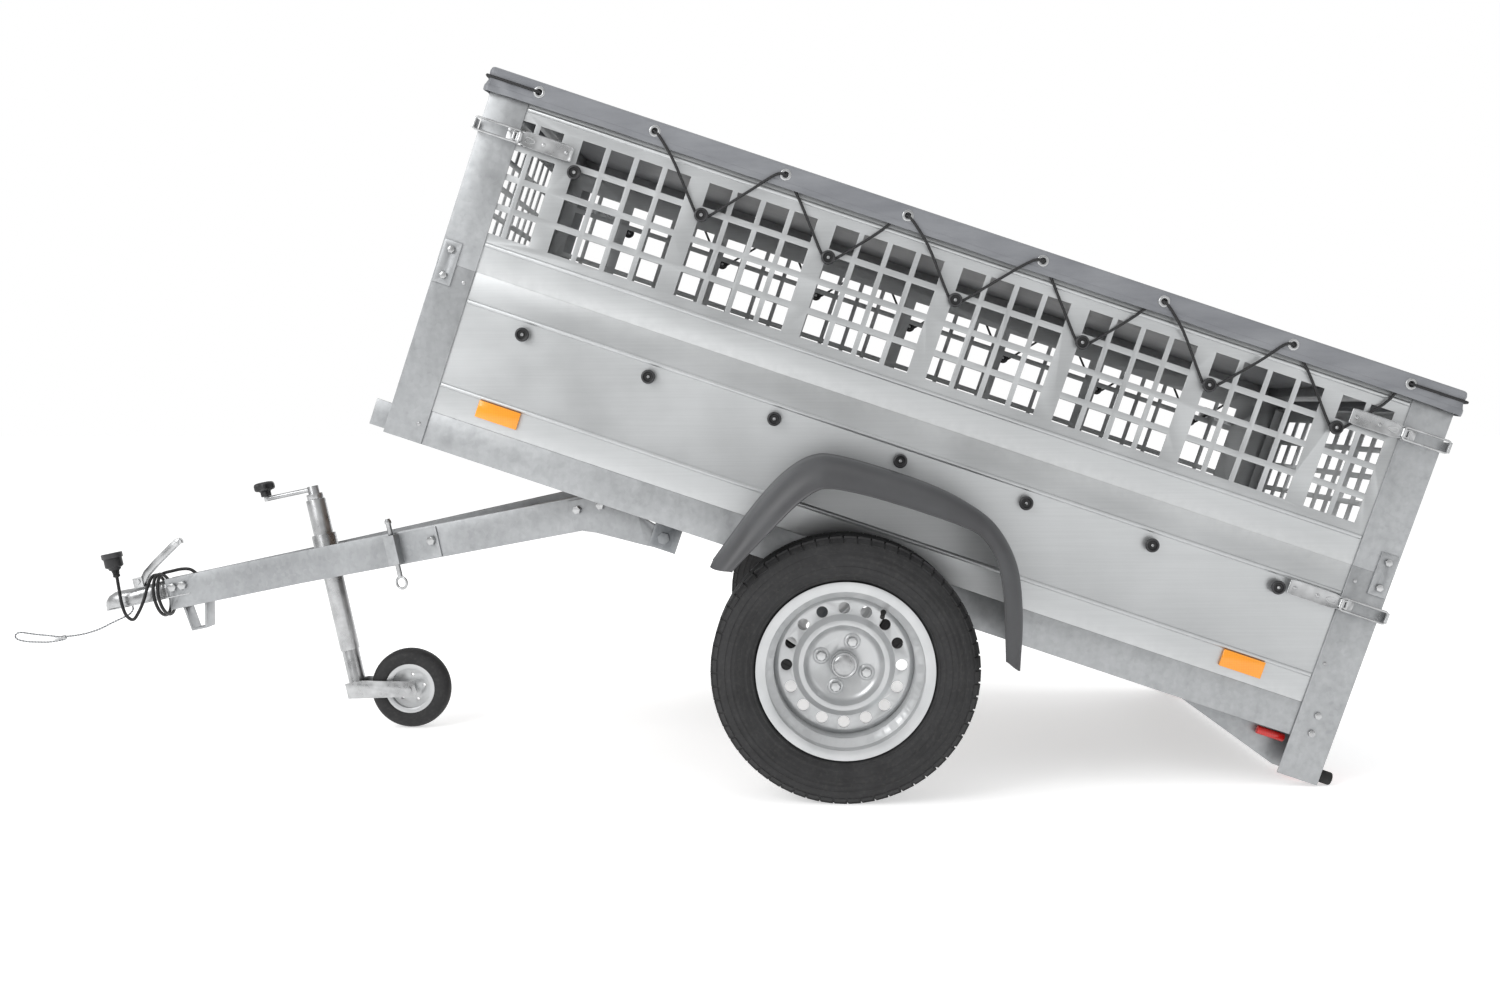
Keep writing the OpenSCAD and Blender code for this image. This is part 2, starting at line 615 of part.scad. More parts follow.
ball_z = bar_low + 45;
module coupling_body() color("silver") in_bar() difference() {
    union() {
        rod_z([nose_x, 0, bar_low + 34], nose_r, 38);
        block([nose_x, -28.7, bar_low + 34], [-bar_len + 60, 28.7, bar_top - 4]);
        rod_z([nose_x, 0, bar_low + 30], nose_r + 5, 5);
        block([nose_x, -nose_r - 5, bar_low + 30], [-bar_len - 20, nose_r + 5, bar_low + 35]);
        both() block([handle_pin[0] - 12, 8 + gap, bar_top - 6], [handle_pin[0] + 12, 14, handle_pin[1] + 10]);
    }
    rod_y([handle_pin[0], -20, handle_pin[1]], 5, 40);
    rod_z([nose_x, 0, bar_low + 20], socket_r, 42);
    for (x = [bar_edge[0][0] + 16, bar_edge[0][0] + 42]) rod_y([x, -60, bar_mid + 16], 6.2, 120);
    block([handle_pin[0] - 22, -8 - gap, bar_top - 15], [handle_pin[0] + 22, 8 + gap, bar_top + 1]);
}

handle_pin = [nose_x + 62, bar_top + 8];
module coupling_handle() color("silver") in_bar() {
    difference() {
        union() {
            along_y(-8, 8) polygon([
                [handle_pin[0] - 14, bar_top - 2], [handle_pin[0] + 10, bar_top - 2],
                [handle_pin[0] + 24, bar_top + 34], [handle_pin[0] + 128, bar_top + 92],
                [handle_pin[0] + 122, bar_top + 102], [handle_pin[0] + 6, bar_top + 44]]);
            rod_y([handle_pin[0], -8, handle_pin[1]], 12, 16);
        }
        rod_y([handle_pin[0], -10, handle_pin[1]], 5.1, 20);
    }
}

module jockey_clamp() color("gray") in_bar() difference() {
    union() {
        block([tube_x - 34, -62, bar_top - bar_t - 5], [tube_x + 34, 62, bar_top - bar_t]);
        rod_z([tube_x, 0, bar_low + 20], tube_d/2 + 6, bar_h + 8);
    }
    rod_z([tube_x, 0, 0], tube_d/2, 300);
}

module jockey_outer_tube() color("gainsboro") in_bar() difference() {
    rod_z([tube_x, 0, tube_low], tube_d/2, tube_high - tube_low);
    rod_z([tube_x, 0, tube_low - 1], tube_bore, tube_high - tube_low - 5);
    rod_z([tube_x, 0, tube_high - 20], 9, 40);
}

// the crank turns the screw; the nut on it carries the inner tube
screw_r = 8;
arm_z = tube_high + 26;
crank_len = 119;
knob_r = 27;
nut_z = tube_high - 150;
module crank_handle() color("gainsboro") in_bar() {
    rod_z([tube_x, 0, nut_z - 70], screw_r, arm_z - nut_z + 70);
    rod_z([tube_x, 0, tube_high + gap], 20, 14);
    rod_z([tube_x, 0, arm_z - 14], 14, 22);
    rod_x([tube_x - crank_len, 0, arm_z], 6, crank_len);
    rod_z([tube_x - crank_len, 0, arm_z - 6], 7, 12);
    rod_z([tube_x - crank_len, 0, arm_z + 2], 5, 36);
}
module crank_knob() color("black") in_bar() difference() {
    union() {
        rod_z([tube_x - crank_len, 0, arm_z + 6 + gap], 14, 16);
        rod_z([tube_x - crank_len, 0, arm_z + 20], knob_r, 23);
    }
    rod_z([tube_x - crank_len, 0, arm_z], 5 + gap, 38 + gap);
}
module spindle_nut() color("goldenrod") in_bar() difference() {
    rod_z([tube_x, 0, nut_z], inner_r, 30);
    rod_z([tube_x, 0, nut_z - 1], screw_r + gap, 32);
}
module jockey_fork() color("gainsboro") in_bar() {
    difference() {
        rod_z([tube_x, 0, fork_z - 12], inner_r, nut_z - gap - fork_z + 12);
        rod_z([tube_x, 0, fork_z + 6], inner_r - 2.6, 600);
    }
    both() {
        along_y(fork_in, fork_in + 5) polygon([
            [tube_x - 22, fork_z - 14], [tube_x - 22, fork_z + 24], [tube_x + 20, fork_z + 24],
            [wheel_x + 16, wheel_z + 17], [wheel_x + 20, wheel_z - 12], [wheel_x + 8, wheel_z - 19],
            [wheel_x - 10, wheel_z - 17]]);
        block([tube_x - 20, inner_r - 3, fork_z - 10], [tube_x + 14, fork_in, fork_z + 20]);
    }
    rod_y([wheel_x, -fork_in - 10, wheel_z], 8, 2*fork_in + 20);
}
module jockey_rim() color("silver") in_bar() translate([wheel_x, 0, wheel_z]) rotate([-90, 0, 0]) difference() {
    rotate_extrude() polygon([[8 + gap, -22], [16, -22], [16, -6], [50, -6], [50, -18], [62, -20], [62, 20],
        [50, 18], [50, 6], [16, 6], [16, 22], [8 + gap, 22]]);
    for (k = [0:4]) rotate([0, 0, 72*k]) translate([33, 0, -30]) cylinder(r = 4, h = 60);
}
module jockey_tyre() color("#2b2b2d") in_bar() translate([wheel_x, 0, wheel_z]) rotate([-90, 0, 0])
    rotate_extrude($fn = 96) polygon([[62, -20], [68, -jockey_w/2], [88, -jockey_w/2], [jockey_r, -14],
        [jockey_r, 14], [88, jockey_w/2], [68, jockey_w/2], [62, 20]]);

module front_stand() color("silver") in_bar() difference() {
    along_y(-26, 26) polygon([[-bar_len + 28, bar_low], [-bar_len + 36, bar_low - 62], [-bar_len + 76, bar_low - 62],
        [-bar_len + 90, bar_low]]);
    along_y(-30, 30) polygon([[-bar_len + 34, bar_low + 1], [-bar_len + 41, bar_low - 57],
        [-bar_len + 71, bar_low - 57], [-bar_len + 84, bar_low + 1]]);
}

catch_at = 300;
module tip_catch_bracket() color("gray") in_bar() mirror([0, 1, 0]) on_splay() difference() {
    union() {
        block([catch_at - 22, 0, bar_low + 2], [catch_at + 118, 4, bar_top - 4]);
        block([catch_at + 8, 4, bar_low + 4], [catch_at + 12, 26, bar_top - 4]);
        block([catch_at - 18, 22, bar_low + 4], [catch_at + 12, 26, bar_top - 4]);
        block([catch_at - 18, 4, bar_low + 4], [catch_at - 14, 26, bar_top - 4]);
        for (z = [bar_low + 4, bar_top - 10]) block([catch_at - 16, 3, z], [catch_at + 10, 24, z + 6]);
    }
    rod_z([catch_at - 3, 13, bar_low - 10], 6.3, 120);
    rod_y([catch_at + 100, -5, bar_mid + 4], 6.2, 20);
}
module tip_catch_pin() color("silver") in_bar() mirror([0, 1, 0]) on_splay() {
    rod_z([catch_at - 3, 13, bar_low - 30], 6, bar_h + 66);
    rod_z([catch_at - 3, 13, bar_top + 24], 8, 8);
    translate([catch_at - 3, 13, bar_low - 42]) rotate([90, 0, 0]) rotate_extrude() translate([14, 0]) circle(r = 3);
}

module drawbar_bolts() color("silver") in_bar() {
    for (x = [bar_edge[0][0] + 16, bar_edge[0][0] + 42]) {
        rod_y([x, -32, bar_mid + 16], 6, 64);
        both() hex_head([x, 32, bar_mid + 16], 11, 8);
    }
    rod_y([handle_pin[0], -14, handle_pin[1]], 5, 28);
    mirror([0, 1, 0]) on_splay() hex_head([catch_at + 100, 4, bar_mid + 4], 11, 7);
    both() on_splay() for (w = [800, 860]) hex_head([w, arm_t, bar_mid + 10], 10, 7);
}

// ---- free cords -------------------------------------------------------------

// steel safety wire: from the coupling's eye to its own loop ahead of the nose
wire_r = 2;
wire_path = [[-1370, 34, 80], [-1371, 35, 71], [-1380, 39, 62], [-1400, 46, 56], [-1425, 50, 50], [-1455, 52, 42], [-1490, 50, 38], [-1520, 46, 38],
    [-1545, 42, 40], [-1570, 38, 44], [-1595, 38, 52], [-1620, 40, 60], [-1640, 44, 68], [-1656, 48, 74],
    [-1666, 50, 72], [-1668, 52, 64], [-1660, 52, 56], [-1642, 50, 48], [-1620, 48, 42], [-1595, 44, 36],
    [-1570, 42, 34], [-1552, 42, 34]];
module safety_wire() color("silver") in_bar() mirror([0, 1, 0]) {
    swept(wire_path, wire_r);
    rod_x([-1576, 40, 39], 5.5, 26);
}

cable_r = 4;
turns = 2;
turn_steps = 14;
cable_turns = [for (i = [0:turns*turn_steps])
    let (a = 360*i/turn_steps) [-1290 - 11*i/turn_steps, -52*sin(a), bar_mid + 2 + 52*cos(a)]];
cable_path = concat([[-1204, 0, 100], [-1205, 0, 112], [-1209, 0, 126], [-1222, 1, 139], [-1244, 3, 144],
    [-1268, 3, 144]], cable_turns,
    [[-1314, -20, 138], [-1320, -40, 118], [-1330, -56, 88], [-1346, -64, 62], [-1364, -62, 48],
     [-1382, -54, 62], [-1388, -50, 92], [-1386, -50, 130], [-1384, -50, 160]]);
module plug_cable() color("black") in_bar() swept(cable_path, cable_r);

module plug() color("black") in_bar() translate([-1384, -50, 160]) {
    cylinder(r1 = 8, r2 = 12, h = 18);
    translate([0, 0, 18]) cylinder(r = 22, h = 42);
    translate([0, 0, 24]) cylinder(r = 25, h = 8);
}

// ---- gates ------------------------------------------------------------------

gate_w = side - 40 - gap;
module tailgate() color("silver") in_box() {
    difference() {
        block([rear_in - 27, -gate_w + 3, sill_low + 28], [rear_in - 3, gate_w - 3, board_top - 2]);
        block([rear_in - 28, -gate_w + 5, sill_low + 30], [rear_in - 5, gate_w - 5, board_top - 4]);
    }
    for (z = [low_rib, high_rib]) intersection() {
        rod_y([rear_in - 4, -gate_w + 40, z], rib_r, 2*gate_w - 80);
        block([rear_in - 5, -side, z - rib_r], [box_rear + rib_r, side, z + rib_r]);
    }
    both() difference() {
        union() {
            rod_y([hinge_x, lug_y, hinge_z], 8, 40);
            block([rear_in - 4, lug_y, hinge_z], [hinge_x + 6, lug_y + 40, hinge_z + 5]);
            block([rear_in - 4, lug_y, hinge_z + 5], [rear_in + 4, lug_y + 40, hinge_z + 60]);
        }
        rod_y([hinge_x, lug_y - 1, hinge_z], 5 + gap, 42);
    }
}

module mesh_gate(half) {
    z0 = board_top + 10;
    z1 = frame_top - skirt_h - 4;
    along_x(0, sheet_t) difference() {
        translate([-half, z0]) square([2*half, z1 - z0]);
        for (c = [-5:5], r = [0:rows - 1])
            if (first_row + r*row_pitch + hole/2 < z1 - 14)
                translate([c*col_pitch*1.25, first_row + r*row_pitch]) square(hole, center = true);
    }
    both() block([0, half - sheet_t, z0], [22, half, z1]);
    block([0, -half, z0], [22, half, z0 + sheet_t]);
    block([0, -half, z1 - sheet_t], [22, half, z1]);
    both() rod_y([gate_pin[0] - gate_in, half - sheet_t, gate_pin[1]], gate_pin_r, 11);
}
module front_mesh_gate() color("silver") in_box() translate([gate_in - box_front, 0, 0])
    mesh_gate(front_gate_half);
module rear_mesh_gate() color("silver") in_box() translate([box_rear - gate_in, 0, 0]) mirror([1, 0, 0])
    mesh_gate(rear_gate_half);

side_sills();
crossmembers();
floor_panel();
side_boards();
front_board();
lower_posts();
upper_posts();
joining_plates();
mesh_sides();
upper_end_rails();
tarp_cover();
lacing_cord();
rope_hooks();
side_reflectors();
body_fasteners();
latch_bases();
tip_brackets();
axle_beam();
fenders();
rear_light_beam();
rear_lamps();
rubber_bumpers();
drawbar_beams();
pivot_arms();
coupling_body();
jockey_clamp();
jockey_outer_tube();
front_stand();
tip_catch_bracket();
drawbar_bolts();
safety_wire();
plug_cable();
plug();
crank_handle();
crank_knob();
spindle_nut();
jockey_fork();
jockey_rim();
jockey_tyre();
tyre_left();
rim_left();
tyre_right();
rim_right();
tailgate();
front_mesh_gate();
rear_mesh_gate();
coupling_handle();
tip_catch_pin();
lever_front_left();
lever_front_right();
lever_rear_left();
lever_rear_right();
lever_gate_left();
lever_gate_right();
bow_front_left();
bow_front_right();
bow_rear_left();
bow_rear_right();
bow_gate_left();
bow_gate_right();
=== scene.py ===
# Tipping livestock trailer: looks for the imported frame, all in metres and in the frame's own axes.
import functools
import json
import math
import bpy
import bmesh
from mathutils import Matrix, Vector, noise

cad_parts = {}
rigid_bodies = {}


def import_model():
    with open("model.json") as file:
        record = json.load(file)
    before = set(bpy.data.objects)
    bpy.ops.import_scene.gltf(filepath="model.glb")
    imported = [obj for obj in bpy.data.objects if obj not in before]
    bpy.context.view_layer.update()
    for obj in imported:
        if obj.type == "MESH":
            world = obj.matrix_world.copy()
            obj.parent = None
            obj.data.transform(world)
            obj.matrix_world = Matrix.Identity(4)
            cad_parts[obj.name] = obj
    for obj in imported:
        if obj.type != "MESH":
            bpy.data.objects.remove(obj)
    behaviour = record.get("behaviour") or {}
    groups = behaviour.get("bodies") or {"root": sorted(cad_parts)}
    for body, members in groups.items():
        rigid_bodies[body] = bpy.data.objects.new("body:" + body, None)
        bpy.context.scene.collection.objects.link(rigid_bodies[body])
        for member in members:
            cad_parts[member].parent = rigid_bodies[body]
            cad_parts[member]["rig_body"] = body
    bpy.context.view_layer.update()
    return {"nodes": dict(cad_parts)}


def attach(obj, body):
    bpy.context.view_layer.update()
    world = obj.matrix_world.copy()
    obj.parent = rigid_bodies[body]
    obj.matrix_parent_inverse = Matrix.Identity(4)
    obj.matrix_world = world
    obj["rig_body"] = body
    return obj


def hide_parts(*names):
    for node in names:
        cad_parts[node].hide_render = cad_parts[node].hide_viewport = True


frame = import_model()
mm = 0.001
weldDistance = 1e-6  # closer points are one

zUp = (0, 0, 1)
origin = (0, 0, 0)
bothSides = (-1, 1)

# the tipped box turns about the wheel axle, the drawbar about its rear pivot; both given in mm
boxFrame = {"origin": (265.6807, 0, 273.5), "turn": 18.45}
barFrame = {"origin": (-125.1135, 0, 514.5682), "turn": -12}


def placed(base, x, y, z):
    turn = math.radians(base["turn"])
    ox, oy, oz = base["origin"]
    return Vector((ox + x * math.cos(turn) + z * math.sin(turn), oy + y,
                   oz - x * math.sin(turn) + z * math.cos(turn))) * mm


def turned(base, x, y, z):
    return (placed(base, x, y, z) - placed(base, 0, 0, 0)).normalized()


def link(piece):
    bpy.context.scene.collection.objects.link(piece)
    return piece


# camera
view = {"place": (0.1367, -3.66, 0.818), "lens": 35.47, "down": 3.83, "left": 1.24}
camera = link(bpy.data.objects.new("camera", bpy.data.cameras.new("camera")))
camera.data.lens = view["lens"]
camera.data.sensor_width = 36
camera.data.clip_start = 0.05
camera.location = view["place"]
camera.rotation_euler = (math.radians(90 - view["down"]), 0, math.radians(view["left"]))
bpy.context.scene.camera = camera


# finishes, each named for its real material
def hexColour(code):
    parts = [int(code[i:i + 2], 16) / 255 for i in (1, 3, 5)]
    return [c / 12.92 if c <= 0.04045 else ((c + 0.055) / 1.055) ** 2.4 for c in parts] + [1]


def setSockets(node, **links):
    # a node or a socket is linked, anything else is a plain value; i3 means the fourth input
    for key, value in links.items():
        name = key.replace("_", " ")
        socket = node.inputs[int(name[1:])] if name[0] == "i" and name[1:].isdigit() else node.inputs[name]
        if isinstance(value, bpy.types.Node):
            value = value.outputs[0]
        if isinstance(value, bpy.types.NodeSocket):
            node.id_data.links.new(value, socket)
        else:
            socket.default_value = value
    return node


def addNode(material, kind, settings=None, **links):
    node = material.node_tree.nodes.new("ShaderNode" + kind)
    for key, value in (settings or {}).items():
        if key == "ramp":
            for stop, (position, code) in zip(node.color_ramp.elements, value):
                stop.position = position
                stop.color = hexColour(code)
        else:
            setattr(node, key, value)
    return setSockets(node, **links)


def startFinish(name, metallic, roughness, **fixed):
    material = bpy.data.materials.new(name)
    material.use_nodes = True
    shader = material.node_tree.nodes["Principled BSDF"]
    setSockets(shader, Metallic=metallic, Roughness=roughness, **fixed)
    add = functools.partial(addNode, material)
    return material, add, shader, add("TexCoord").outputs["Object"]


colourMix = {"data_type": "RGBA"}
middle = {"From_Min": 0.3, "From_Max": 0.7}  # a noise hardly leaves this band


def wornEdges(add, coords, base, bright, amount):
    # handled edges are found by how sharply the surface turns, and a noise breaks the line up
    edge = add("NewGeometry").outputs["Pointiness"]
    sharp = add("MapRange", Value=edge, From_Min=0.53, From_Max=0.6, To_Min=0, To_Max=amount)
    wear = add("TexNoise", Vector=coords, Scale=1 / (18 * mm), Detail=3)
    broken = add("Math", {"operation": "MULTIPLY"}, i0=sharp, i1=wear)
    return add("Mix", colourMix, i0=broken, i6=base, i7=hexColour(bright)).outputs[2]


def hotDipZinc(name, dark, light, crystalMm, roughness):
    # hot-dip galvanised steel: soft grey clouds run down the metal over faint zinc crystals, dull with age
    material, add, shader, coords = startFinish(name, 0.8, 0.45)
    cells = add("TexVoronoi", Vector=coords, Scale=1 / (crystalMm * mm))
    grey = add("RGBToBW", Color=cells.outputs["Color"])
    crystal = add("ValToRGB", {"ramp": [(0.1, dark), (0.9, light)]}, Fac=grey)
    down = add("Mapping", Vector=coords, Scale=(1, 1, 0.3))
    streak = add("TexNoise", Vector=down, Scale=1 / (34 * mm), Detail=5, Roughness=0.6)
    runs = add("ValToRGB", {"ramp": [(0.34, dark), (0.66, light)]}, Fac=streak)
    wide = add("TexNoise", Vector=coords, Scale=1 / (150 * mm), Detail=4)
    cloud = add("ValToRGB", {"ramp": [(0.35, dark), (0.65, light)]}, Fac=wide)
    broad = add("Mix", colourMix, i0=0.55, i6=cloud, i7=runs).outputs[2]
    colour = add("Mix", colourMix, i0=0.28, i6=broad, i7=crystal).outputs[2]
    shine = add("MapRange", Value=streak, **middle, To_Min=roughness[0], To_Max=roughness[1])
    grain = add("TexNoise", Vector=coords, Scale=1 / (4 * mm), Detail=2)
    bump = add("Bump", Height=grain, Distance=0.1 * mm, Strength=0.35)
    setSockets(shader, Base_Color=wornEdges(add, coords, colour, "#e6e8e9", 0.5), Roughness=shine, Normal=bump)
    return material


def rolledZincSheet(name, dark, light):
    # pre-galvanised rolled sheet: smooth satin skin with faint rolling lines along the panel
    material, add, shader, coords = startFinish(name, 0.72, 0.38)
    wide = add("TexNoise", Vector=coords, Scale=1 / (190 * mm), Detail=4)
    cloud = add("ValToRGB", {"ramp": [(0.3, dark), (0.7, light)]}, Fac=wide)
    rolled = add("Mapping", Vector=coords, Rotation=(0, math.radians(-18.45), 0), Scale=(0.015, 1, 1))
    lines = add("TexNoise", Vector=rolled, Scale=1 / (4 * mm), Detail=2)
    line = add("ValToRGB", {"ramp": [(0.38, dark), (0.62, light)]}, Fac=lines)
    colour = add("Mix", colourMix, i0=0.22, i6=cloud, i7=line).outputs[2]
    rub = add("TexNoise", Vector=rolled, Scale=1 / (60 * mm), Detail=5, Roughness=0.7)
    rubbed = add("MapRange", Value=rub, From_Min=0.6, From_Max=0.8, To_Min=0, To_Max=0.25)
    colour = add("Mix", colourMix, i0=rubbed, i6=colour, i7=hexColour("#a2a4a6")).outputs[2]
    shine = add("MapRange", Value=wide, **middle, To_Min=0.3, To_Max=0.44)
    bump = add("Bump", Height=lines, Distance=0.04 * mm, Strength=0.25)
    setSockets(shader, Base_Color=wornEdges(add, coords, colour, "#f0f1f1", 0.5), Roughness=shine, Normal=bump)
    return material


def smoothMetal(name, dark, light, cloudMm, metallic=0.92, roughness=(0.22, 0.38)):
    # plated, turned or enamelled metal: one even skin, clouded by handling and brighter on its edges
    material, add, shader, coords = startFinish(name, metallic, 0.3)
    cloud = add("TexNoise", Vector=coords, Scale=1 / (cloudMm * mm), Detail=4)
    tone = add("ValToRGB", {"ramp": [(0.3, dark), (0.7, light)]}, Fac=cloud)
    shine = add("MapRange", Value=cloud, **middle, To_Min=roughness[0], To_Max=roughness[1])
    grain = add("TexNoise", Vector=coords, Scale=1 / (1.5 * mm), Detail=2)
    bump = add("Bump", Height=grain, Distance=0.03 * mm, Strength=0.25)
    setSockets(shader, Base_Color=wornEdges(add, coords, tone, "#f4f5f5", 0.5), Roughness=shine, Normal=bump)
    return material


def coatedCloth():
    # PVC coated polyester tarpaulin: woven scrim shows through a soft plastic skin as a fine crossing grid
    material, add, shader, coords = startFinish("pvcTarpaulin", 0.0, 0.44, Sheen_Weight=0.08, Coat_Weight=0.1,
                                                Coat_Roughness=0.35)
    threadMm = 1.6  # real thread spacing is 1.1 mm, drawn a little coarser so that it shows
    cloth = add("UVMap", {"uv_map": "cloth"})
    waves = [add("TexWave", {"bands_direction": way}, Vector=cloth,
                     Scale=math.pi / (20 * threadMm * mm), Distortion=0.4) for way in ("X", "Y")]
    weave = add("Math", {"operation": "MULTIPLY"}, i0=waves[0].outputs["Fac"], i1=waves[1].outputs["Fac"])
    wide = add("TexNoise", Vector=coords, Scale=1 / (120 * mm), Detail=5)
    cloud = add("ValToRGB", {"ramp": [(0.3, "#73757a"), (0.7, "#84868a")]}, Fac=wide)
    long = add("Mapping", Vector=coords, Scale=(0.25, 1, 1.6))
    wiped = add("TexNoise", Vector=long, Scale=1 / (60 * mm), Detail=5, Roughness=0.6)
    smear = add("ValToRGB", {"ramp": [(0.35, "#6d6f74"), (0.68, "#8a8c90")]}, Fac=wiped)
    colour = add("Mix", colourMix, i0=0.5, i6=cloud, i7=smear).outputs[2]
    shine = add("MapRange", Value=wiped, **middle, To_Min=0.38, To_Max=0.55)
    slack = add("Mapping", Vector=coords, Scale=(0.7, 1, 1.6))
    soft = add("TexNoise", Vector=slack, Scale=1 / (34 * mm), Detail=3)
    creases = add("Bump", Height=soft, Distance=1.2 * mm, Strength=0.45)
    bump = add("Bump", Height=weave, Distance=0.12 * mm, Strength=0.35, Normal=creases)
    setSockets(shader, Base_Color=colour, Roughness=shine, Normal=bump)
    return material


def windings(name, dark, light, pitchMm, slants, metallic, roughness, deepMm):
    # braided cord crosses two sets of strands on the slant, twisted wire lays one: drawn along the cord's own length
    material, add, shader, coords = startFinish(name, metallic, roughness)
    along = add("UVMap", {"uv_map": "cord"})
    lays = []
    for slant in slants:
        leaning = add("Mapping", Vector=along, Rotation=(0, 0, math.radians(slant)))
        lays.append(add("TexWave", {"wave_profile": "TRI"}, Vector=leaning,
                            Scale=math.pi / (20 * pitchMm * mm)).outputs["Fac"])
    strands = add("Math", {"operation": "MAXIMUM"}, i0=lays[0], i1=lays[-1])
    # the colour follows the strand relief: painted shade darkens the grooves between strands and painted highlight
    # lightens their crowns
    tone = add("ValToRGB", {"ramp": [(0.3, dark), (0.95, light)]}, Fac=strands)
    bump = add("Bump", Height=strands, Distance=deepMm * mm, Strength=0.7)
    setSockets(shader, Base_Color=tone, Normal=bump)
    return material


def mouldedPlastic(name, dark, light, grainMm, roughness, worn):
    # injection moulded polyethylene or nylon: even colour, fine spark-eroded grain, scuffed lighter on its edges
    material, add, shader, coords = startFinish(name, 0.0, roughness, IOR=1.49)
    cloud = add("TexNoise", Vector=coords, Scale=1 / (90 * mm), Detail=5)
    tone = add("ValToRGB", {"ramp": [(0.3, dark), (0.7, light)]}, Fac=cloud)
    shine = add("MapRange", Value=cloud, **middle, To_Min=roughness - 0.06, To_Max=roughness + 0.07)
    grain = add("TexVoronoi", Vector=coords, Scale=1 / (grainMm * mm))
    bump = add("Bump", Height=grain, Distance=0.12 * mm, Strength=0.35)
    setSockets(shader, Base_Color=wornEdges(add, coords, tone, worn, 0.5), Roughness=shine, Normal=bump)
    return material


def agedRubber(name, dark, light, roughness):
    # black vulcanised rubber: grey bloom in soft patches, road dust in the low places, fine mould texture
    material, add, shader, coords = startFinish(name, 0.0, roughness, Specular_IOR_Level=0.35)
    bloom = add("TexNoise", Vector=coords, Scale=1 / (40 * mm), Detail=6)
    tone = add("ValToRGB", {"ramp": [(0.3, dark), (0.7, light)]}, Fac=bloom)
    settled = add("TexNoise", Vector=coords, Scale=1 / (7 * mm), Detail=4)
    dusty = add("MapRange", Value=settled, From_Min=0.5, From_Max=0.8, To_Min=0, To_Max=0.35)
    colour = add("Mix", colourMix, i0=dusty, i6=tone, i7=hexColour("#4a4947")).outputs[2]
    shine = add("MapRange", Value=bloom, **middle, To_Min=roughness - 0.1, To_Max=roughness + 0.1)
    grain = add("TexNoise", Vector=coords, Scale=1 / (1.4 * mm), Detail=3)
    bump = add("Bump", Height=grain, Distance=0.18 * mm, Strength=0.5)
    setSockets(shader, Base_Color=colour, Roughness=shine, Normal=bump)
    return material


def prismLens(name, dark, light):
    # moulded acrylic lens: clear coloured skin over rows of 5 mm corner prisms that throw the light back; the prisms'
    # glint and soft patches of light are painted into its colour
    material, add, shader, coords = startFinish(name, 0.0, 0.16, IOR=1.49, Coat_Weight=0.6, Coat_Roughness=0.06)
    cells = add("TexVoronoi", Vector=coords, Scale=1 / (5 * mm), Randomness=0.0)
    # each prism is painted light at its centre and dark at its rim: a painted glint and painted shade on the prism
    # faces
    tone = add("ValToRGB", {"ramp": [(0.1, light), (0.75, dark)]}, Fac=cells)
    # soft patches of painted light lie over the lens, mixed towards its light colour
    paintedGlowNoise = add("TexNoise", Vector=coords, Scale=1 / (60 * mm), Detail=2)
    paintedLightShare = add("MapRange", Value=paintedGlowNoise, **middle, To_Min=0.2, To_Max=0.55)
    colour = add("Mix", colourMix, i0=paintedLightShare, i6=tone, i7=hexColour(light)).outputs[2]
    bump = add("Bump", Height=cells, Distance=0.5 * mm, Strength=0.4)
    setSockets(shader, Base_Color=colour, Normal=bump)
    return material


def facedPlywood():
    # birch plywood with a brown phenolic film: pressed wire-mesh grip pattern 6 mm apart
    material, add, shader, coords = startFinish("filmFacedPlywood", 0.0, 0.5, Coat_Weight=0.2, Coat_Roughness=0.3)
    grid = add("TexVoronoi", {"distance": "CHEBYCHEV"}, Vector=coords, Scale=1 / (6 * mm), Randomness=0.0)
    pressed = add("ValToRGB", {"ramp": [(0.3, "#6b543f"), (0.6, "#3c2e23")]}, Fac=grid)
    long = add("Mapping", Vector=coords, Scale=(0.08, 1, 1))
    fibre = add("TexNoise", Vector=long, Scale=1 / (14 * mm), Detail=6)
    grained = add("ValToRGB", {"ramp": [(0.3, "#4c3a2c"), (0.7, "#6b543f")]}, Fac=fibre)
    colour = add("Mix", colourMix, i0=0.4, i6=grained, i7=pressed).outputs[2]
    shine = add("MapRange", Value=fibre, **middle, To_Min=0.42, To_Max=0.6)
    bump = add("Bump", Height=grid, Distance=0.4 * mm, Strength=0.5)
    setSockets(shader, Base_Color=colour, Roughness=shine, Normal=bump)
    return material


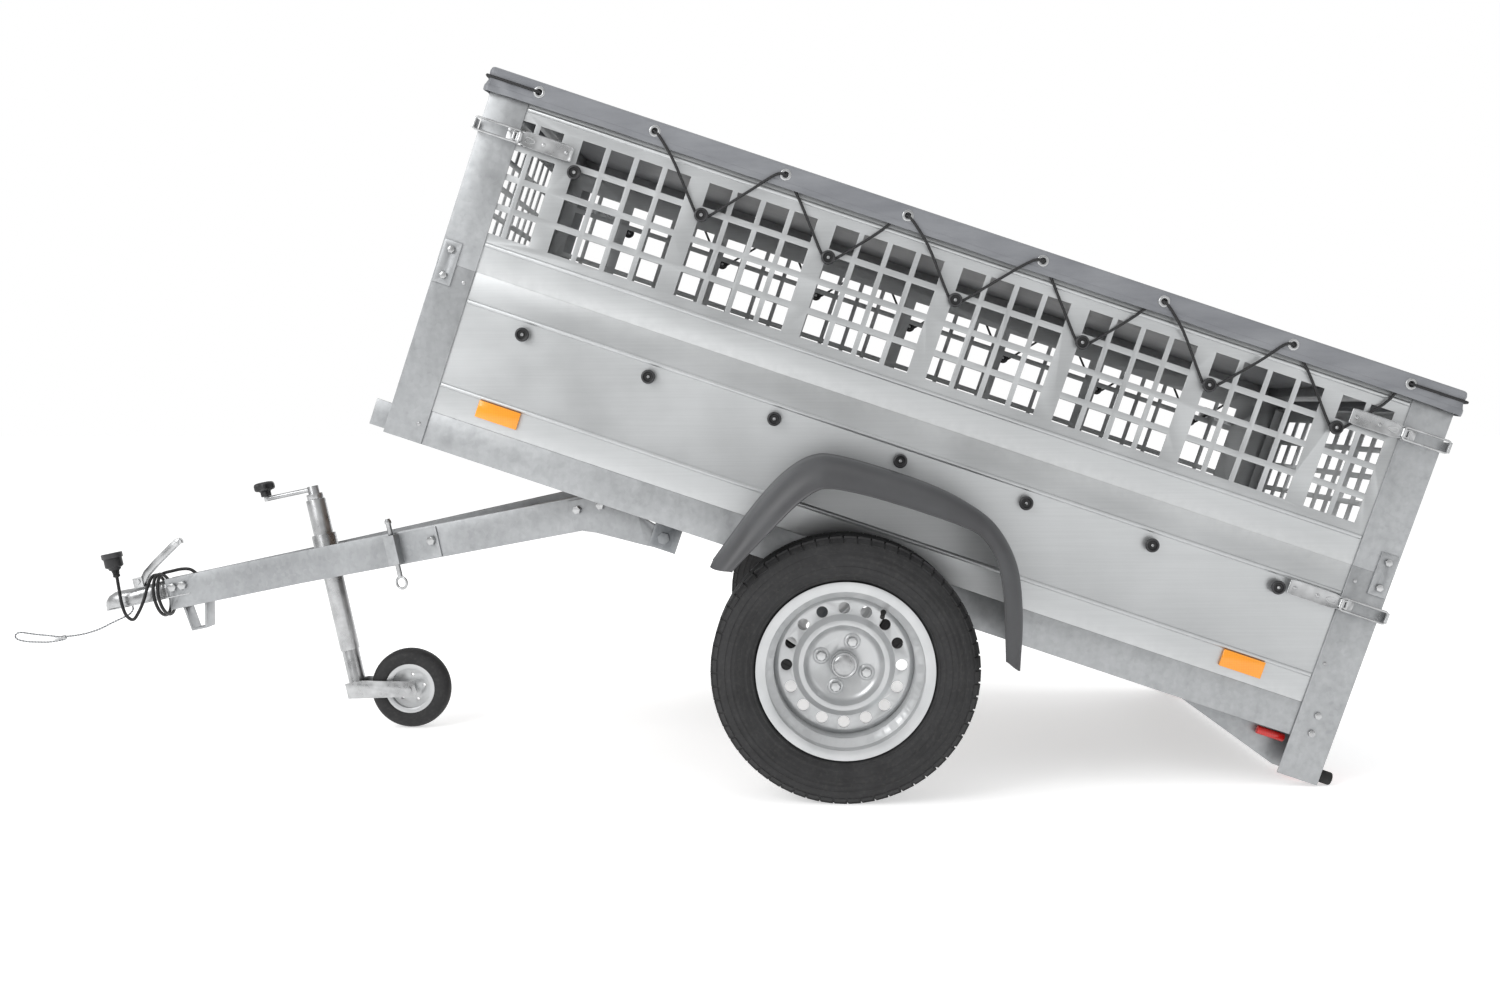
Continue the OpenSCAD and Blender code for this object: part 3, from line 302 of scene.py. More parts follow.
finishes = {
    "galvanised": hotDipZinc("hotDipGalvanisedSteel", "#8a8c8e", "#a9abad", 9, (0.36, 0.5)),
    "galvanisedDark": hotDipZinc("hotDipGalvanisedDull", "#74777a", "#a0a3a6", 11, (0.42, 0.58)),
    "board_sheet": rolledZincSheet("rolledZincSheet", "#b1b3b4", "#c1c3c4"),
    "zinc_plate": smoothMetal("brightZincPlate", "#9a9b9c", "#c2c3c4", 32),
    "plywood": facedPlywood(),
    "cover_cloth": coatedCloth(),
    "elastic_cord": windings("shockCordBraid", "#0d0d0e", "#2b2b2d", 2.5, (45, -45), 0.0, 0.62, 0.5),
    "black_plastic": mouldedPlastic("blackNylon", "#141415", "#212123", 0.9, 0.42, "#8b8c90"),
    "fender_plastic": mouldedPlastic("mouldedPolyethylene", "#434345", "#4e4f51", 1.6, 0.46, "#a4a5a7"),
    "amber": prismLens("amberAcrylicLens", "#e8870f", "#ffa726"),
    "red_lens": prismLens("redAcrylicLens", "#8f0d0d", "#d8201a"),
    "rubber": agedRubber("blackRubber", "#161616", "#2a2a2a", 0.68),
    "tyre_rubber": agedRubber("tyreRubber", "#222223", "#333334", 0.66),
    "steel_wire": windings("galvanisedWireStrand", "#55575a", "#b9bbbd", 3, (35,), 0.9, 0.35, 0.4),
    "cable_sheath": agedRubber("pvcCableSheath", "#111112", "#1e1e20", 0.46),
    "brass_nut": smoothMetal("turnedBrass", "#8d6f35", "#b8964f", 14, 1.0, (0.25, 0.4)),
    "rim_paint": smoothMetal("silverWheelEnamel", "#bcbebf", "#cccdce", 70, 0.55, (0.28, 0.36)),
}
print("finishes ready:", len(finishes))


# making pieces
def asPiece(name, mesh, finish, body, nodes=(), smoothAt=35):
    piece = link(bpy.data.objects.new(name, mesh))
    mesh.materials.clear()
    mesh.materials.append(finishes[finish])
    mesh.shade_smooth()
    if smoothAt:
        mesh.set_sharp_from_angle(angle=math.radians(smoothAt))
    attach(piece, body)
    if nodes:
        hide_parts(*nodes)
    return piece


def addStep(piece, name, kind, **settings):
    step = piece.modifiers.new(name, kind)
    for key, value in settings.items():
        setattr(step, key, value)
    return step


def evaluated(piece):
    return bpy.data.meshes.new_from_object(piece.evaluated_get(bpy.context.evaluated_depsgraph_get()))


def gridFaces(rows, count, closed):
    # four-sided faces between rows of points, each row closed on itself or left open
    return [(i * count + k, i * count + (k + 1) % count, (i + 1) * count + (k + 1) % count, (i + 1) * count + k)
            for i in range(rows - 1) for k in range(count if closed else count - 1)]


def meshFrom(name, points, faces):
    mesh = bpy.data.meshes.new(name)
    mesh.from_pydata([tuple(p) for p in points], [], faces)
    mesh.update()
    return mesh


def lathe(name, profile, centre, axis, segments=64, closed=False, lobes=None):
    axis = Vector(axis).normalized()
    across = axis.orthogonal().normalized()
    up = axis.cross(across)
    points, faces = [], []
    count = len(profile)
    for k in range(segments):
        angle = 2 * math.pi * k / segments
        out = across * math.cos(angle) + up * math.sin(angle)
        swell = 1 + (lobes[1] * math.cos(lobes[0] * angle) if lobes else 0)
        for radius, along in profile:
            points.append(Vector(centre) + out * radius * swell * mm + axis * along * mm)
    rows = count if closed else count - 1
    for k in range(segments):
        here, ahead = k * count, (k + 1) % segments * count
        faces += [(here + i, here + (i + 1) % count, ahead + (i + 1) % count, ahead + i) for i in range(rows)]
    mesh = meshFrom(name, points, faces)
    shape = bmesh.new()
    shape.from_mesh(mesh)
    bmesh.ops.remove_doubles(shape, verts=shape.verts, dist=weldDistance)
    bmesh.ops.recalc_face_normals(shape, faces=shape.faces)
    shape.to_mesh(mesh)
    shape.free()
    return mesh


def steppedCurve(points, steps=8):
    # Catmull-Rom line through the points
    ends = [points[0] * 2 - points[1]] + list(points) + [points[-1] * 2 - points[-2]]
    line = []
    for i in range(1, len(ends) - 2):
        a, b, c, d = ends[i - 1:i + 3]
        for k in range(steps):
            t = k / steps
            line.append(((b * 2) + (c - a) * t + (a * 2 - b * 5 + c * 4 - d) * t * t
                         + (b * 3 - a - c * 3 + d) * t ** 3) / 2)
    return line + [points[-1]]


def tube(name, line, radiusMm, sides=14, radii=None, capped=True):
    # a round tube swept along the line, with the cord's own length and girth as its UV map
    points, girth = [], []
    previous = None
    travelled = 0
    for i, here in enumerate(line):
        ahead = (line[min(i + 1, len(line) - 1)] - line[max(i - 1, 0)]).normalized()
        normal = ahead.orthogonal() if previous is None else previous - ahead * previous.dot(ahead)
        previous = normal = normal.normalized()
        side = ahead.cross(normal)
        if i:
            travelled += (here - line[i - 1]).length
        radius = (radii[i] if radii else radiusMm) * mm
        for k in range(sides):
            angle = 2 * math.pi * k / sides
            points.append(here + normal * math.cos(angle) * radius + side * math.sin(angle) * radius)
            girth.append(travelled)
    faces = gridFaces(len(line), sides, True)
    if capped:
        faces.append(tuple(reversed(range(sides))))
        faces.append(tuple((len(line) - 1) * sides + k for k in range(sides)))
    mesh = meshFrom(name, points, faces)
    layer = mesh.uv_layers.new(name="cord")
    for face in mesh.polygons:
        first = face.vertices[0] % sides
        for corner in face.loop_indices:
            vertex = mesh.loops[corner].vertex_index
            k = vertex % sides
            around = sides if k == 0 and first == sides - 1 and len(face.vertices) == 4 else k
            layer.data[corner].uv = (girth[vertex], around / sides * 2 * math.pi * radiusMm * mm)
    return mesh


def finishNode(node, finish, bevelMm, name=None, smoothAt=32):
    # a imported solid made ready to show: welded, its flat faces joined, its edges broken as a press or saw leaves them
    source = frame["nodes"][node]
    mesh = source.data.copy()
    shape = bmesh.new()
    shape.from_mesh(mesh)
    bmesh.ops.remove_doubles(shape, verts=shape.verts, dist=0.02 * mm)
    bmesh.ops.dissolve_limit(shape, angle_limit=math.radians(0.6), verts=shape.verts, edges=shape.edges)
    shape.to_mesh(mesh)
    shape.free()
    piece = link(bpy.data.objects.new(name or node + "Shown", mesh))
    addStep(piece, "brokenEdges", "BEVEL", width=bevelMm * mm, segments=2, limit_method="ANGLE",
            angle_limit=math.radians(38), use_clamp_overlap=True)
    mesh = evaluated(piece)
    piece.modifiers.clear()
    piece.data = mesh
    mesh.materials.clear()
    mesh.materials.append(finishes[finish])
    mesh.shade_smooth()
    mesh.set_sharp_from_angle(angle=math.radians(smoothAt))
    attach(piece, source["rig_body"])
    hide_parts(node)
    return piece


# cords, which come before everything else
plugCable = {"diameter": 8, "steps": 6, "length": 1.034,
             "start": [(-1204, 0, 100), (-1205, 0, 112), (-1209, 0, 126), (-1222, 1, 139), (-1244, 3, 144),
                       (-1268, 3, 144)],
             "turns": 2, "turnRadius": 52, "lead": 22, "from": (-1290, 91),
             "tail": [(-1314, -20, 138), (-1320, -40, 118), (-1330, -56, 88), (-1346, -64, 62), (-1364, -62, 48),
                      (-1382, -54, 62), (-1388, -50, 92), (-1386, -50, 130), (-1384, -50, 160)]}


def cableRoute(sizes):
    route = list(sizes["start"])
    perTurn = 14
    for i in range(sizes["turns"] * perTurn + 1):
        angle = 2 * math.pi * i / perTurn
        route.append((sizes["from"][0] - sizes["lead"] / 2 * i / perTurn, -sizes["turnRadius"] * math.sin(angle),
                      sizes["from"][1] + sizes["turnRadius"] * math.cos(angle)))
    return [placed(barFrame, *p) for p in route + sizes["tail"]]


cableLine = steppedCurve(cableRoute(plugCable), plugCable["steps"])
cablePiece = asPiece("lightingCable", tube("lightingCable", cableLine, plugCable["diameter"] / 2), "cable_sheath",
                     "drawbar", nodes=["plug_cable"], smoothAt=60)

plugShape = {"at": (-1384, -50, 160),
             "relief": [(4.2, -2), (8.2, 0), (8.6, 4), (7.2, 6), (8.8, 8), (7.6, 10), (9.4, 12), (8.4, 14), (10.5, 16),
                        (12, 18)],
             "body": [(0, 17), (12, 17.5), (14, 18), (15, 22), (20.5, 25), (21.8, 27), (21.8, 46), (24.2, 47),
                      (25, 48.2), (25, 58.5), (24.2, 59.6), (22.6, 60), (0, 60)]}
upBar = turned(barFrame, 0, 0, 1)
plugAt = placed(barFrame, *plugShape["at"])
plugBody = asPiece("sevenPinPlug", lathe("sevenPinPlug", plugShape["body"], plugAt, upBar, 64), "black_plastic",
                   "drawbar", nodes=["plug"])
plugRelief = asPiece("plugStrainRelief", lathe("plugStrainRelief", plugShape["relief"], plugAt, upBar, 40), "rubber",
                     "drawbar")

breakawayWire = {"diameter": 4, "steps": 6, "length": 0.454, "side": -1,
                 "route": [(-1370, 34, 80), (-1371, 35, 71), (-1380, 39, 62), (-1400, 46, 56), (-1425, 50, 50),
                           (-1455, 52, 42), (-1490, 50, 38), (-1520, 46, 38), (-1545, 42, 40), (-1570, 38, 44),
                           (-1595, 38, 52), (-1620, 40, 60), (-1640, 44, 68), (-1656, 48, 74), (-1666, 50, 72),
                           (-1668, 52, 64), (-1660, 52, 56), (-1642, 50, 48), (-1620, 48, 42), (-1595, 44, 36),
                           (-1570, 42, 34), (-1552, 42, 34)],
                 "ferrule": [(0, -13.5), (4.4, -13.5), (5.5, -12), (5.5, -5), (4.9, -4), (4.9, -2), (5.5, -1), (5.5, 1),
                             (4.9, 2), (4.9, 4), (5.5, 5), (5.5, 12), (4.4, 13.5), (0, 13.5)]}
wireLine = steppedCurve([placed(barFrame, x, breakawayWire["side"] * y, z) for x, y, z in breakawayWire["route"]],
                        breakawayWire["steps"])
wirePiece = asPiece("breakawayWire", tube("breakawayWire", wireLine, breakawayWire["diameter"] / 2, 12), "steel_wire",
                    "drawbar", nodes=["safety_wire"], smoothAt=60)
ferrule = asPiece("wireFerrule", lathe("wireFerrule", breakawayWire["ferrule"],
                                       placed(barFrame, -1563, breakawayWire["side"] * 40, 39),
                                       turned(barFrame, 1, 0, 0), 32), "zinc_plate", "drawbar")
print("cords ready")


# the elastic lacing, held by eyelets and hooks all the way round
lacing = {"diameter": 6, "eyelets": [-976, -723, -436.6, -168.8, 126.8, 392.4, 675.4, 933.3], "height": 922.5,
          "out": 557.1, "in": 547.4, "hookSide": 546.5, "hookHigh": 789, "bend": 9.4, "corner": 3.6,
          "front": -1086.5, "rear": 1052.5, "skirt": 553.5}
hookAcross = [(k - 3) * 279 - 19.4 for k in range(7)]


def lacingRoute(sizes, side):
    route, height, radius = [], sizes["height"], sizes["corner"]

    def through(x, inward):
        first, second = (sizes["out"], sizes["in"]) if inward > 0 else (sizes["in"], sizes["out"])
        route.extend([(x - 16, first, height - (0 if inward > 0 else 1)), (x - 5, first, height),
                      (x + 5, second, height)])

    def roundHook(x, y):
        bend, high, face = sizes["bend"], sizes["hookHigh"], sizes["hookSide"]
        route.extend([(x - 90, y, height - 44), (x - bend - 2, face, high - 2), (x, face, high - bend - 1),
                      (x + bend + 2, face, high - 2), (x + 90, y, height - 44)])

    corner = [(math.cos(math.radians(a)), math.sin(math.radians(a))) for a in (0, 45, 90)]
    route.append((sizes["front"] - radius, 0, height))
    route.extend([(sizes["front"] - radius * c, sizes["skirt"] + radius * s, height) for c, s in corner])
    through(sizes["eyelets"][0], 1)
    through(sizes["eyelets"][1], -1)
    for i in range(1, 7):
        roundHook(hookAcross[i], sizes["out"] if i % 2 else sizes["in"])
        through(sizes["eyelets"][i + 1], 1 if i % 2 else -1)
    route.extend([(sizes["rear"] + radius * c, sizes["skirt"] + radius * s, height) for c, s in reversed(corner)])
    route.append((sizes["rear"] + radius, 0, height))
    return [placed(boxFrame, x, side * y, z) for x, y, z in route]


def joinMeshes(name, meshes):
    shape = bmesh.new()
    for mesh in meshes:
        shape.from_mesh(mesh)
    bmesh.ops.recalc_face_normals(shape, faces=shape.faces)
    joined = bpy.data.meshes.new(name)
    shape.to_mesh(joined)
    shape.free()
    return joined


def filleted(points, stepMm=16):
    # straight pulls with small soft bends, as a tight elastic cord takes
    line = []
    for a, b in zip(points, points[1:]):
        pieces = max(2, int((b - a).length / (stepMm * mm)))
        line += [a.lerp(b, k / pieces) for k in range(pieces)]
    line.append(points[-1])
    for _ in range(2):
        inner = [line[i] * 0.5 + (line[i - 1] + line[i + 1]) * 0.25 for i in range(1, len(line) - 1)]
        line = [line[0]] + inner + [line[-1]]
    return line


asPiece("lacingCord", joinMeshes("lacingCord", [
    tube("lacingSide", filleted(lacingRoute(lacing, side)), lacing["diameter"] / 2, 12, capped=False)
    for side in bothSides]), "elastic_cord", "chassis", nodes=["lacing_cord"], smoothAt=60)
print("lacing ready")


# one tree that sets copies of a shape on marked points
def copiesTree():
    tree = bpy.data.node_groups.new("copiesOnPoints", "GeometryNodeTree")
    ids = {}
    tree.interface.new_socket("Geometry", in_out="OUTPUT", socket_type="NodeSocketGeometry")
    for label, kind in (("Geometry", "NodeSocketGeometry"), ("Shape", "NodeSocketObject"), ("Size", "NodeSocketFloat"),
                        ("Free Turn", "NodeSocketFloat"), ("Seed", "NodeSocketInt"), ("Finish", "NodeSocketMaterial")):
        ids[label] = tree.interface.new_socket(label, in_out="INPUT", socket_type=kind).identifier
    make = tree.nodes.new
    given, result = make("NodeGroupInput"), make("NodeGroupOutput")
    shape = make("GeometryNodeObjectInfo")
    points = make("GeometryNodeMeshToPoints")
    facing = make("GeometryNodeInputNamedAttribute")
    facing.data_type = "FLOAT_VECTOR"
    facing.inputs["Name"].default_value = "facing"
    aim = make("FunctionNodeAlignRotationToVector")
    aim.axis = "Z"
    along = make("GeometryNodeInputNamedAttribute")
    along.data_type = "FLOAT_VECTOR"
    along.inputs["Name"].default_value = "along"
    lineUp = make("FunctionNodeAlignRotationToVector")
    lineUp.axis = "X"
    lineUp.pivot_axis = "Z"
    chance = make("FunctionNodeRandomValue")
    chance.data_type = "FLOAT"
    spin = make("FunctionNodeAxisAngleToRotation")
    spin.inputs["Axis"].default_value = (0, 0, 1)
    turn = make("FunctionNodeRotateRotation")
    turn.rotation_space = "LOCAL"
    copies = make("GeometryNodeInstanceOnPoints")
    real = make("GeometryNodeRealizeInstances")
    paint = make("GeometryNodeSetMaterial")
    for source, target in (
            (given.outputs["Geometry"], points.inputs["Mesh"]), (given.outputs["Shape"], shape.inputs["Object"]),
            (facing.outputs[0], aim.inputs["Vector"]), (given.outputs["Free Turn"], chance.inputs["Max"]),
            (given.outputs["Seed"], chance.inputs["Seed"]), (chance.outputs["Value"], spin.inputs["Angle"]),
            (aim.outputs[0], lineUp.inputs["Rotation"]), (along.outputs[0], lineUp.inputs["Vector"]),
            (lineUp.outputs[0], turn.inputs["Rotation"]), (spin.outputs[0], turn.inputs["Rotate By"]),
            (points.outputs[0], copies.inputs["Points"]), (shape.outputs["Geometry"], copies.inputs["Instance"]),
            (turn.outputs[0], copies.inputs["Rotation"]), (given.outputs["Size"], copies.inputs["Scale"]),
            (copies.outputs[0], real.inputs[0]), (real.outputs[0], paint.inputs["Geometry"]),
            (given.outputs["Finish"], paint.inputs["Material"]), (paint.outputs[0], result.inputs[0])):
        tree.links.new(source, target)
    return tree, ids


copiesOnPoints, copyInputs = copiesTree()


def setCopies(name, spots, shapeMesh, finish, body, nodes=(), size=1.0, freeTurn=0.0, seed=7, smoothAt=35):
    # spots are (place, facing, along): the shape's own up axis turns to face that way and its X axis runs along
    base = bpy.data.meshes.new(name + "Spots")
    base.from_pydata([tuple(spot[0]) for spot in spots], [], [])
    facing = base.attributes.new("facing", "FLOAT_VECTOR", "POINT")
    along = base.attributes.new("along", "FLOAT_VECTOR", "POINT")
    for i, spot in enumerate(spots):
        facing.data[i].vector = spot[1]
        along.data[i].vector = spot[2] if len(spot) > 2 else Vector(spot[1]).orthogonal()
    shape = link(bpy.data.objects.new(name + "Shape", shapeMesh))
    holder = link(bpy.data.objects.new(name + "Holder", base))
    step = addStep(holder, "copies", "NODES", node_group=copiesOnPoints)
    for label, value in (("Shape", shape), ("Size", size), ("Free Turn", freeTurn), ("Seed", seed),
                         ("Finish", finishes[finish])):
        step[copyInputs[label]] = value
    holder.update_tag()
    bpy.context.view_layer.update()
    mesh = evaluated(holder)
    mesh.name = name
    holder.modifiers.clear()
    bpy.data.objects.remove(holder)
    bpy.data.objects.remove(shape)
    return asPiece(name, mesh, finish, body, nodes=nodes, smoothAt=smoothAt)


def boxSpot(x, y, z, way=None):
    return placed(boxFrame, x, y, z), turned(boxFrame, *(way or (0, 1 if y > 0 else -1, 0)))


# the cover: one welded cloth over the top rails, its skirt turned down all round
cover = {"front": -1086.5, "rear": 1052.5, "side": 553.5, "top": 944.5, "low": 895.5, "edge": 6, "corner": 8,
         "hemTop": 908, "cloth": 1.8, "sag": 15, "eyeletHole": 7.2}


def coverOutline(sizes):
    # points round the skirt seen from above, each with its outward direction and the place along the nearest side
    halfLong, halfWide, radius = (sizes["rear"] - sizes["front"]) / 2, sizes["side"], sizes["corner"]
    outline = []

    def straight(a, b, out, count):
        for k in range(count):
            t = k / count
            outline.append((a[0] + (b[0] - a[0]) * t, a[1] + (b[1] - a[1]) * t, out))

    def bend(cx, cy, first):
        for k in range(5):
            angle = math.radians(first + 18 * k)
            outline.append((cx + radius * math.cos(angle), cy + radius * math.sin(angle),
                            (math.cos(angle), math.sin(angle))))

    x1, y1 = halfLong - radius, halfWide - radius
    straight((-x1, -halfWide), (x1, -halfWide), (0, -1), 240)
    bend(x1, -y1, -90)
    straight((halfLong, -y1), (halfLong, y1), (1, 0), 110)
    bend(x1, y1, 0)
    straight((x1, halfWide), (-x1, halfWide), (0, 1), 240)
    bend(-x1, y1, 90)
    straight((-halfLong, y1), (-halfLong, -y1), (-1, 0), 110)
    bend(-x1, -y1, 180)
    return outline


def coverMesh(sizes):
    top, low, wide, edge = sizes["top"], sizes["low"], sizes["side"], sizes["edge"]
    centre = (sizes["front"] + sizes["rear"]) / 2
    halfLong = (sizes["rear"] - sizes["front"]) / 2
    outline = coverOutline(sizes)
    levels = []  # height, inset, share of the skirt's looseness
    rows = 13
    for k in range(rows):
        levels.append((low + (top - edge - low) * k / rows, 0, 1 - k / rows))
    for z in (sizes["hemTop"] - 0.5, sizes["hemTop"] + 0.5):
        levels.append((z, 0, (top - z) / (top - low)))
    levels.sort()
    for k in range(6):
        angle = math.radians(18 * k)
        levels.append((top - edge + edge * math.sin(angle), edge * (1 - math.cos(angle)), 0))
    for inset in (12, 20, 30, 42, 56, 74, 96, 122, 152, 186, 226, 270, 320, 374, 432, 492, 553.4):
        levels.append((top, inset, 0))
    points, places = [], []
    for z, inset, loose in levels:
        for x, y, out in outline:
            coreX = max(wide - halfLong, min(halfLong - wide, x))
            share = inset / wide
            px, py, pz = x + (coreX - x) * share, y * (1 - share), z
            nearCorner = math.hypot(halfLong - abs(px), wide - abs(py)) if loose > 0 else 999
            push = 0.0
            if inset > 20:
                depth = min(1, (inset - 20) / 420)
                pz -= sizes["sag"] * (depth * depth * (3 - 2 * depth))
                pz += 1.6 * noise.noise(Vector((px / 210, py / 260, 1.7))) * min(1, (inset - 20) / 80)
            if z < sizes["hemTop"]:
                push += 0.8
            if loose > 0:
                along = px if abs(out[1]) > 0.7 else py
                push += loose * (1.3 * noise.noise(Vector((along / 60, out[0] * 3, out[1] * 3)))
                                 + 0.9 * noise.noise(Vector((along / 21, pz / 16, out[1] * 5 + 3))))
                pz += loose * 2.2 * noise.noise(Vector((along / 170, out[0] * 7, out[1] * 2 + 9)))
                if abs(out[1]) > 0.7:
                    for eyelet in lacing["eyelets"]:
                        away = abs(px + centre - eyelet)
                        if away < 70:  # the cord's pull gathers the cloth into short folds that fan from the ring
                            fan = math.sin((px + centre - eyelet) / 9 + (pz - lacing["height"]) / 7)
                            push += 0.7 * fan * math.exp(-away / 26) * min(1, away / 12)
                if nearCorner < 130:  # boxed corner: spare cloth folded under, showing as slanting creases
                    fade = (1 - nearCorner / 130) ** 1.3
                    slant = math.sin(nearCorner / 8.5 + (pz - low) / 6.5)
                    push += 2.6 * fade * slant * min(1, loose * 2.2) + 1.2 * fade
                    pz -= 3.5 * fade * loose
            px, py = px + out[0] * push, py + out[1] * push
            points.append(placed(boxFrame, px + centre, py, pz))
            drop = top - z
            places.append(((px + out[0] * drop * (inset < 1)) * mm, (py + out[1] * drop * (inset < 1)) * mm))
    mesh = meshFrom("tarpaulin", points, gridFaces(len(levels), len(outline), True))
    layer = mesh.uv_layers.new(name="cloth")
    for corner in mesh.loops:
        layer.data[corner.index].uv = places[corner.vertex_index]
    shape = bmesh.new()
    shape.from_mesh(mesh)
    ridge = [v for v in shape.verts if v.index >= (len(levels) - 1) * len(outline)]
    bmesh.ops.remove_doubles(shape, verts=ridge, dist=0.8 * mm)
    bmesh.ops.recalc_face_normals(shape, faces=shape.faces)
    if sum(face.normal.z for face in shape.faces) < 0:
        bmesh.ops.reverse_faces(shape, faces=shape.faces)
    shape.to_mesh(mesh)
    shape.free()
    return mesh


def boxRods(name, spots, radius, reach):
    # short rods across the skirt, used only to cut the ring holes
    meshes = [lathe(name, [(0, -reach), (radius, -reach), (radius, reach), (0, reach)], *boxSpot(*spot), segments=20)
              for spot in spots]
    return joinMeshes(name, meshes)


eyeletSpots = [(x, side * cover["side"], lacing["height"]) for x in lacing["eyelets"] for side in bothSides]
coverPiece = link(bpy.data.objects.new("tarpaulin", coverMesh(cover)))
cutter = link(bpy.data.objects.new("ringHoles", boxRods("ringHoles", eyeletSpots, cover["eyeletHole"], 9)))
addStep(coverPiece, "clothThickness", "SOLIDIFY", thickness=cover["cloth"] * mm, offset=-1)
addStep(coverPiece, "ringHoles", "BOOLEAN", operation="DIFFERENCE", object=cutter, solver="EXACT")
bpy.context.view_layer.update()
coverCut = evaluated(coverPiece)
bpy.data.objects.remove(coverPiece)
bpy.data.objects.remove(cutter)
coverCut.name = "tarpaulin"
coverPiece = asPiece("tarpaulin", coverCut, "cover_cloth", "chassis", nodes=["tarp_cover"], smoothAt=55)

ringShape = lathe("coverRing", [(6.2, -3.4), (6.2, 0.4), (7, 1.6), (8.4, 2.1), (10.4, 1.9), (12, 1), (12.4, 0.2),
                                (12.2, -0.6), (8, -1.2), (8, -2.6), (11, -3), (11, -3.6)], origin, zUp, 36, closed=True)
rings = setCopies("coverRings", [boxSpot(*spot) for spot in eyeletSpots], ringShape, "zinc_plate", "chassis")
print("cover ready")


# rope hooks: nylon mushroom buttons, each held by one rivet
hook = {"heights": (435, 789), "face": 540.1,
        "button": [(6, 0), (8.5, 0), (8.5, 0.8), (6.3, 1.4), (6, 6), (6.6, 9.4), (9.5, 11), (13.8, 11.2), (14.8, 12.2),
                   (15, 14), (14.6, 16), (13.2, 17.4), (11.6, 17.9), (10.4, 17.5), (9.6, 16), (8.8, 14.6), (7.2, 14),
                   (5.4, 14.3), (4.6, 15.2), (0, 15.4)],
        "rivet": [(0, 15), (3.7, 15), (3.8, 16), (3.2, 17.2), (2.1, 17.9), (1.6, 17.2), (0, 16.9)]}
hookSpots = [boxSpot(x, side * hook["face"], z) for x in hookAcross for z in hook["heights"] for side in bothSides]
setCopies("ropeHooks", hookSpots, lathe("hookButton", hook["button"], origin, zUp, 36), "black_plastic", "chassis",
          nodes=["rope_hooks"])
setCopies("hookRivets", hookSpots, lathe("hookRivet", hook["rivet"], origin, zUp, 16), "zinc_plate", "chassis")


# road wheels
wheel = {"centre": (265.6807, 642, 273.5), "blocks": 60, "blockLong": 26, "blockWide": 25,
         "half": [(259.5, 41.5), (233.5, 65.5), (206, 65.5), (178, 48), (166, 46), (166, 58), (173, 59), (183, 60.5),
                  (185.4, 65), (187, 69), (189, 71), (191.5, 70.4), (194, 72), (197, 74.6), (199.6, 75.9),
                  (202, 75.2), (205, 75.4), (206, 76.2), (209, 76.6), (210, 77.4), (214, 77.5), (215, 76.5),
                  (222, 76.8), (223.2, 77.6), (226, 77.4), (227.4, 76.2), (231, 76.1), (232.4, 77.2), (238, 75.8),
                  (239.6, 74), (243.4, 73.4), (244.6, 74.2), (249, 73.2), (250.4, 71.8), (254, 70.6), (259.5, 67),
                  (263.4, 63), (267.5, 58.5), (269.2, 56), (269.2, 33), (267.2, 32.2), (272.9, 31.4), (273.4, 30.4),
                  (273.5, 14), (272.9, 12.8), (267.2, 12.2), (267.2, 7.4), (272.9, 6.8), (273.4, 5.8)],
         "shear": 2.2, "blockAt": (268.6, 44.5), "lugAt": (262.9, 62.6), "lugLean": (0.72, 0.69),
         "valve": [(0, 0), (6, 0), (5.4, 6), (4, 16), (4, 22), (4.8, 22.5), (4.8, 31), (3.8, 33), (0, 33.5)],
         "valveRadius": 138, "valveTurn": 55, "pads": 4, "padRadius": 50, "padTurn": 20,
         "cap": [(0, 14), (8, 13.9), (16, 13.2), (20.5, 11.8), (22, 10.6), (23, 11.2), (25.5, 11), (27, 9.4), (27.6, 7),
                 (27.6, 0), (0, 0)],
         "pad": [(10.6, -1), (10.6, 3), (12, 4), (14.4, 3.4), (17, 1.2), (18.4, -0.6)]}


def blockMesh(name, longMm, wideMm, highMm, shear, taper):
    points = []
    for z, scale in ((0, 1), (highMm, taper)):
        for x, y in ((-1, -1), (1, -1), (1, 1), (-1, 1)):
            points.append(Vector((x * longMm / 2 * scale + y * shear, y * wideMm / 2 * scale, z)) * mm)
    return meshFrom(name, points, [(0, 3, 2, 1), (4, 5, 6, 7), (0, 1, 5, 4), (1, 2, 6, 5), (2, 3, 7, 6), (3, 0, 4, 7)])


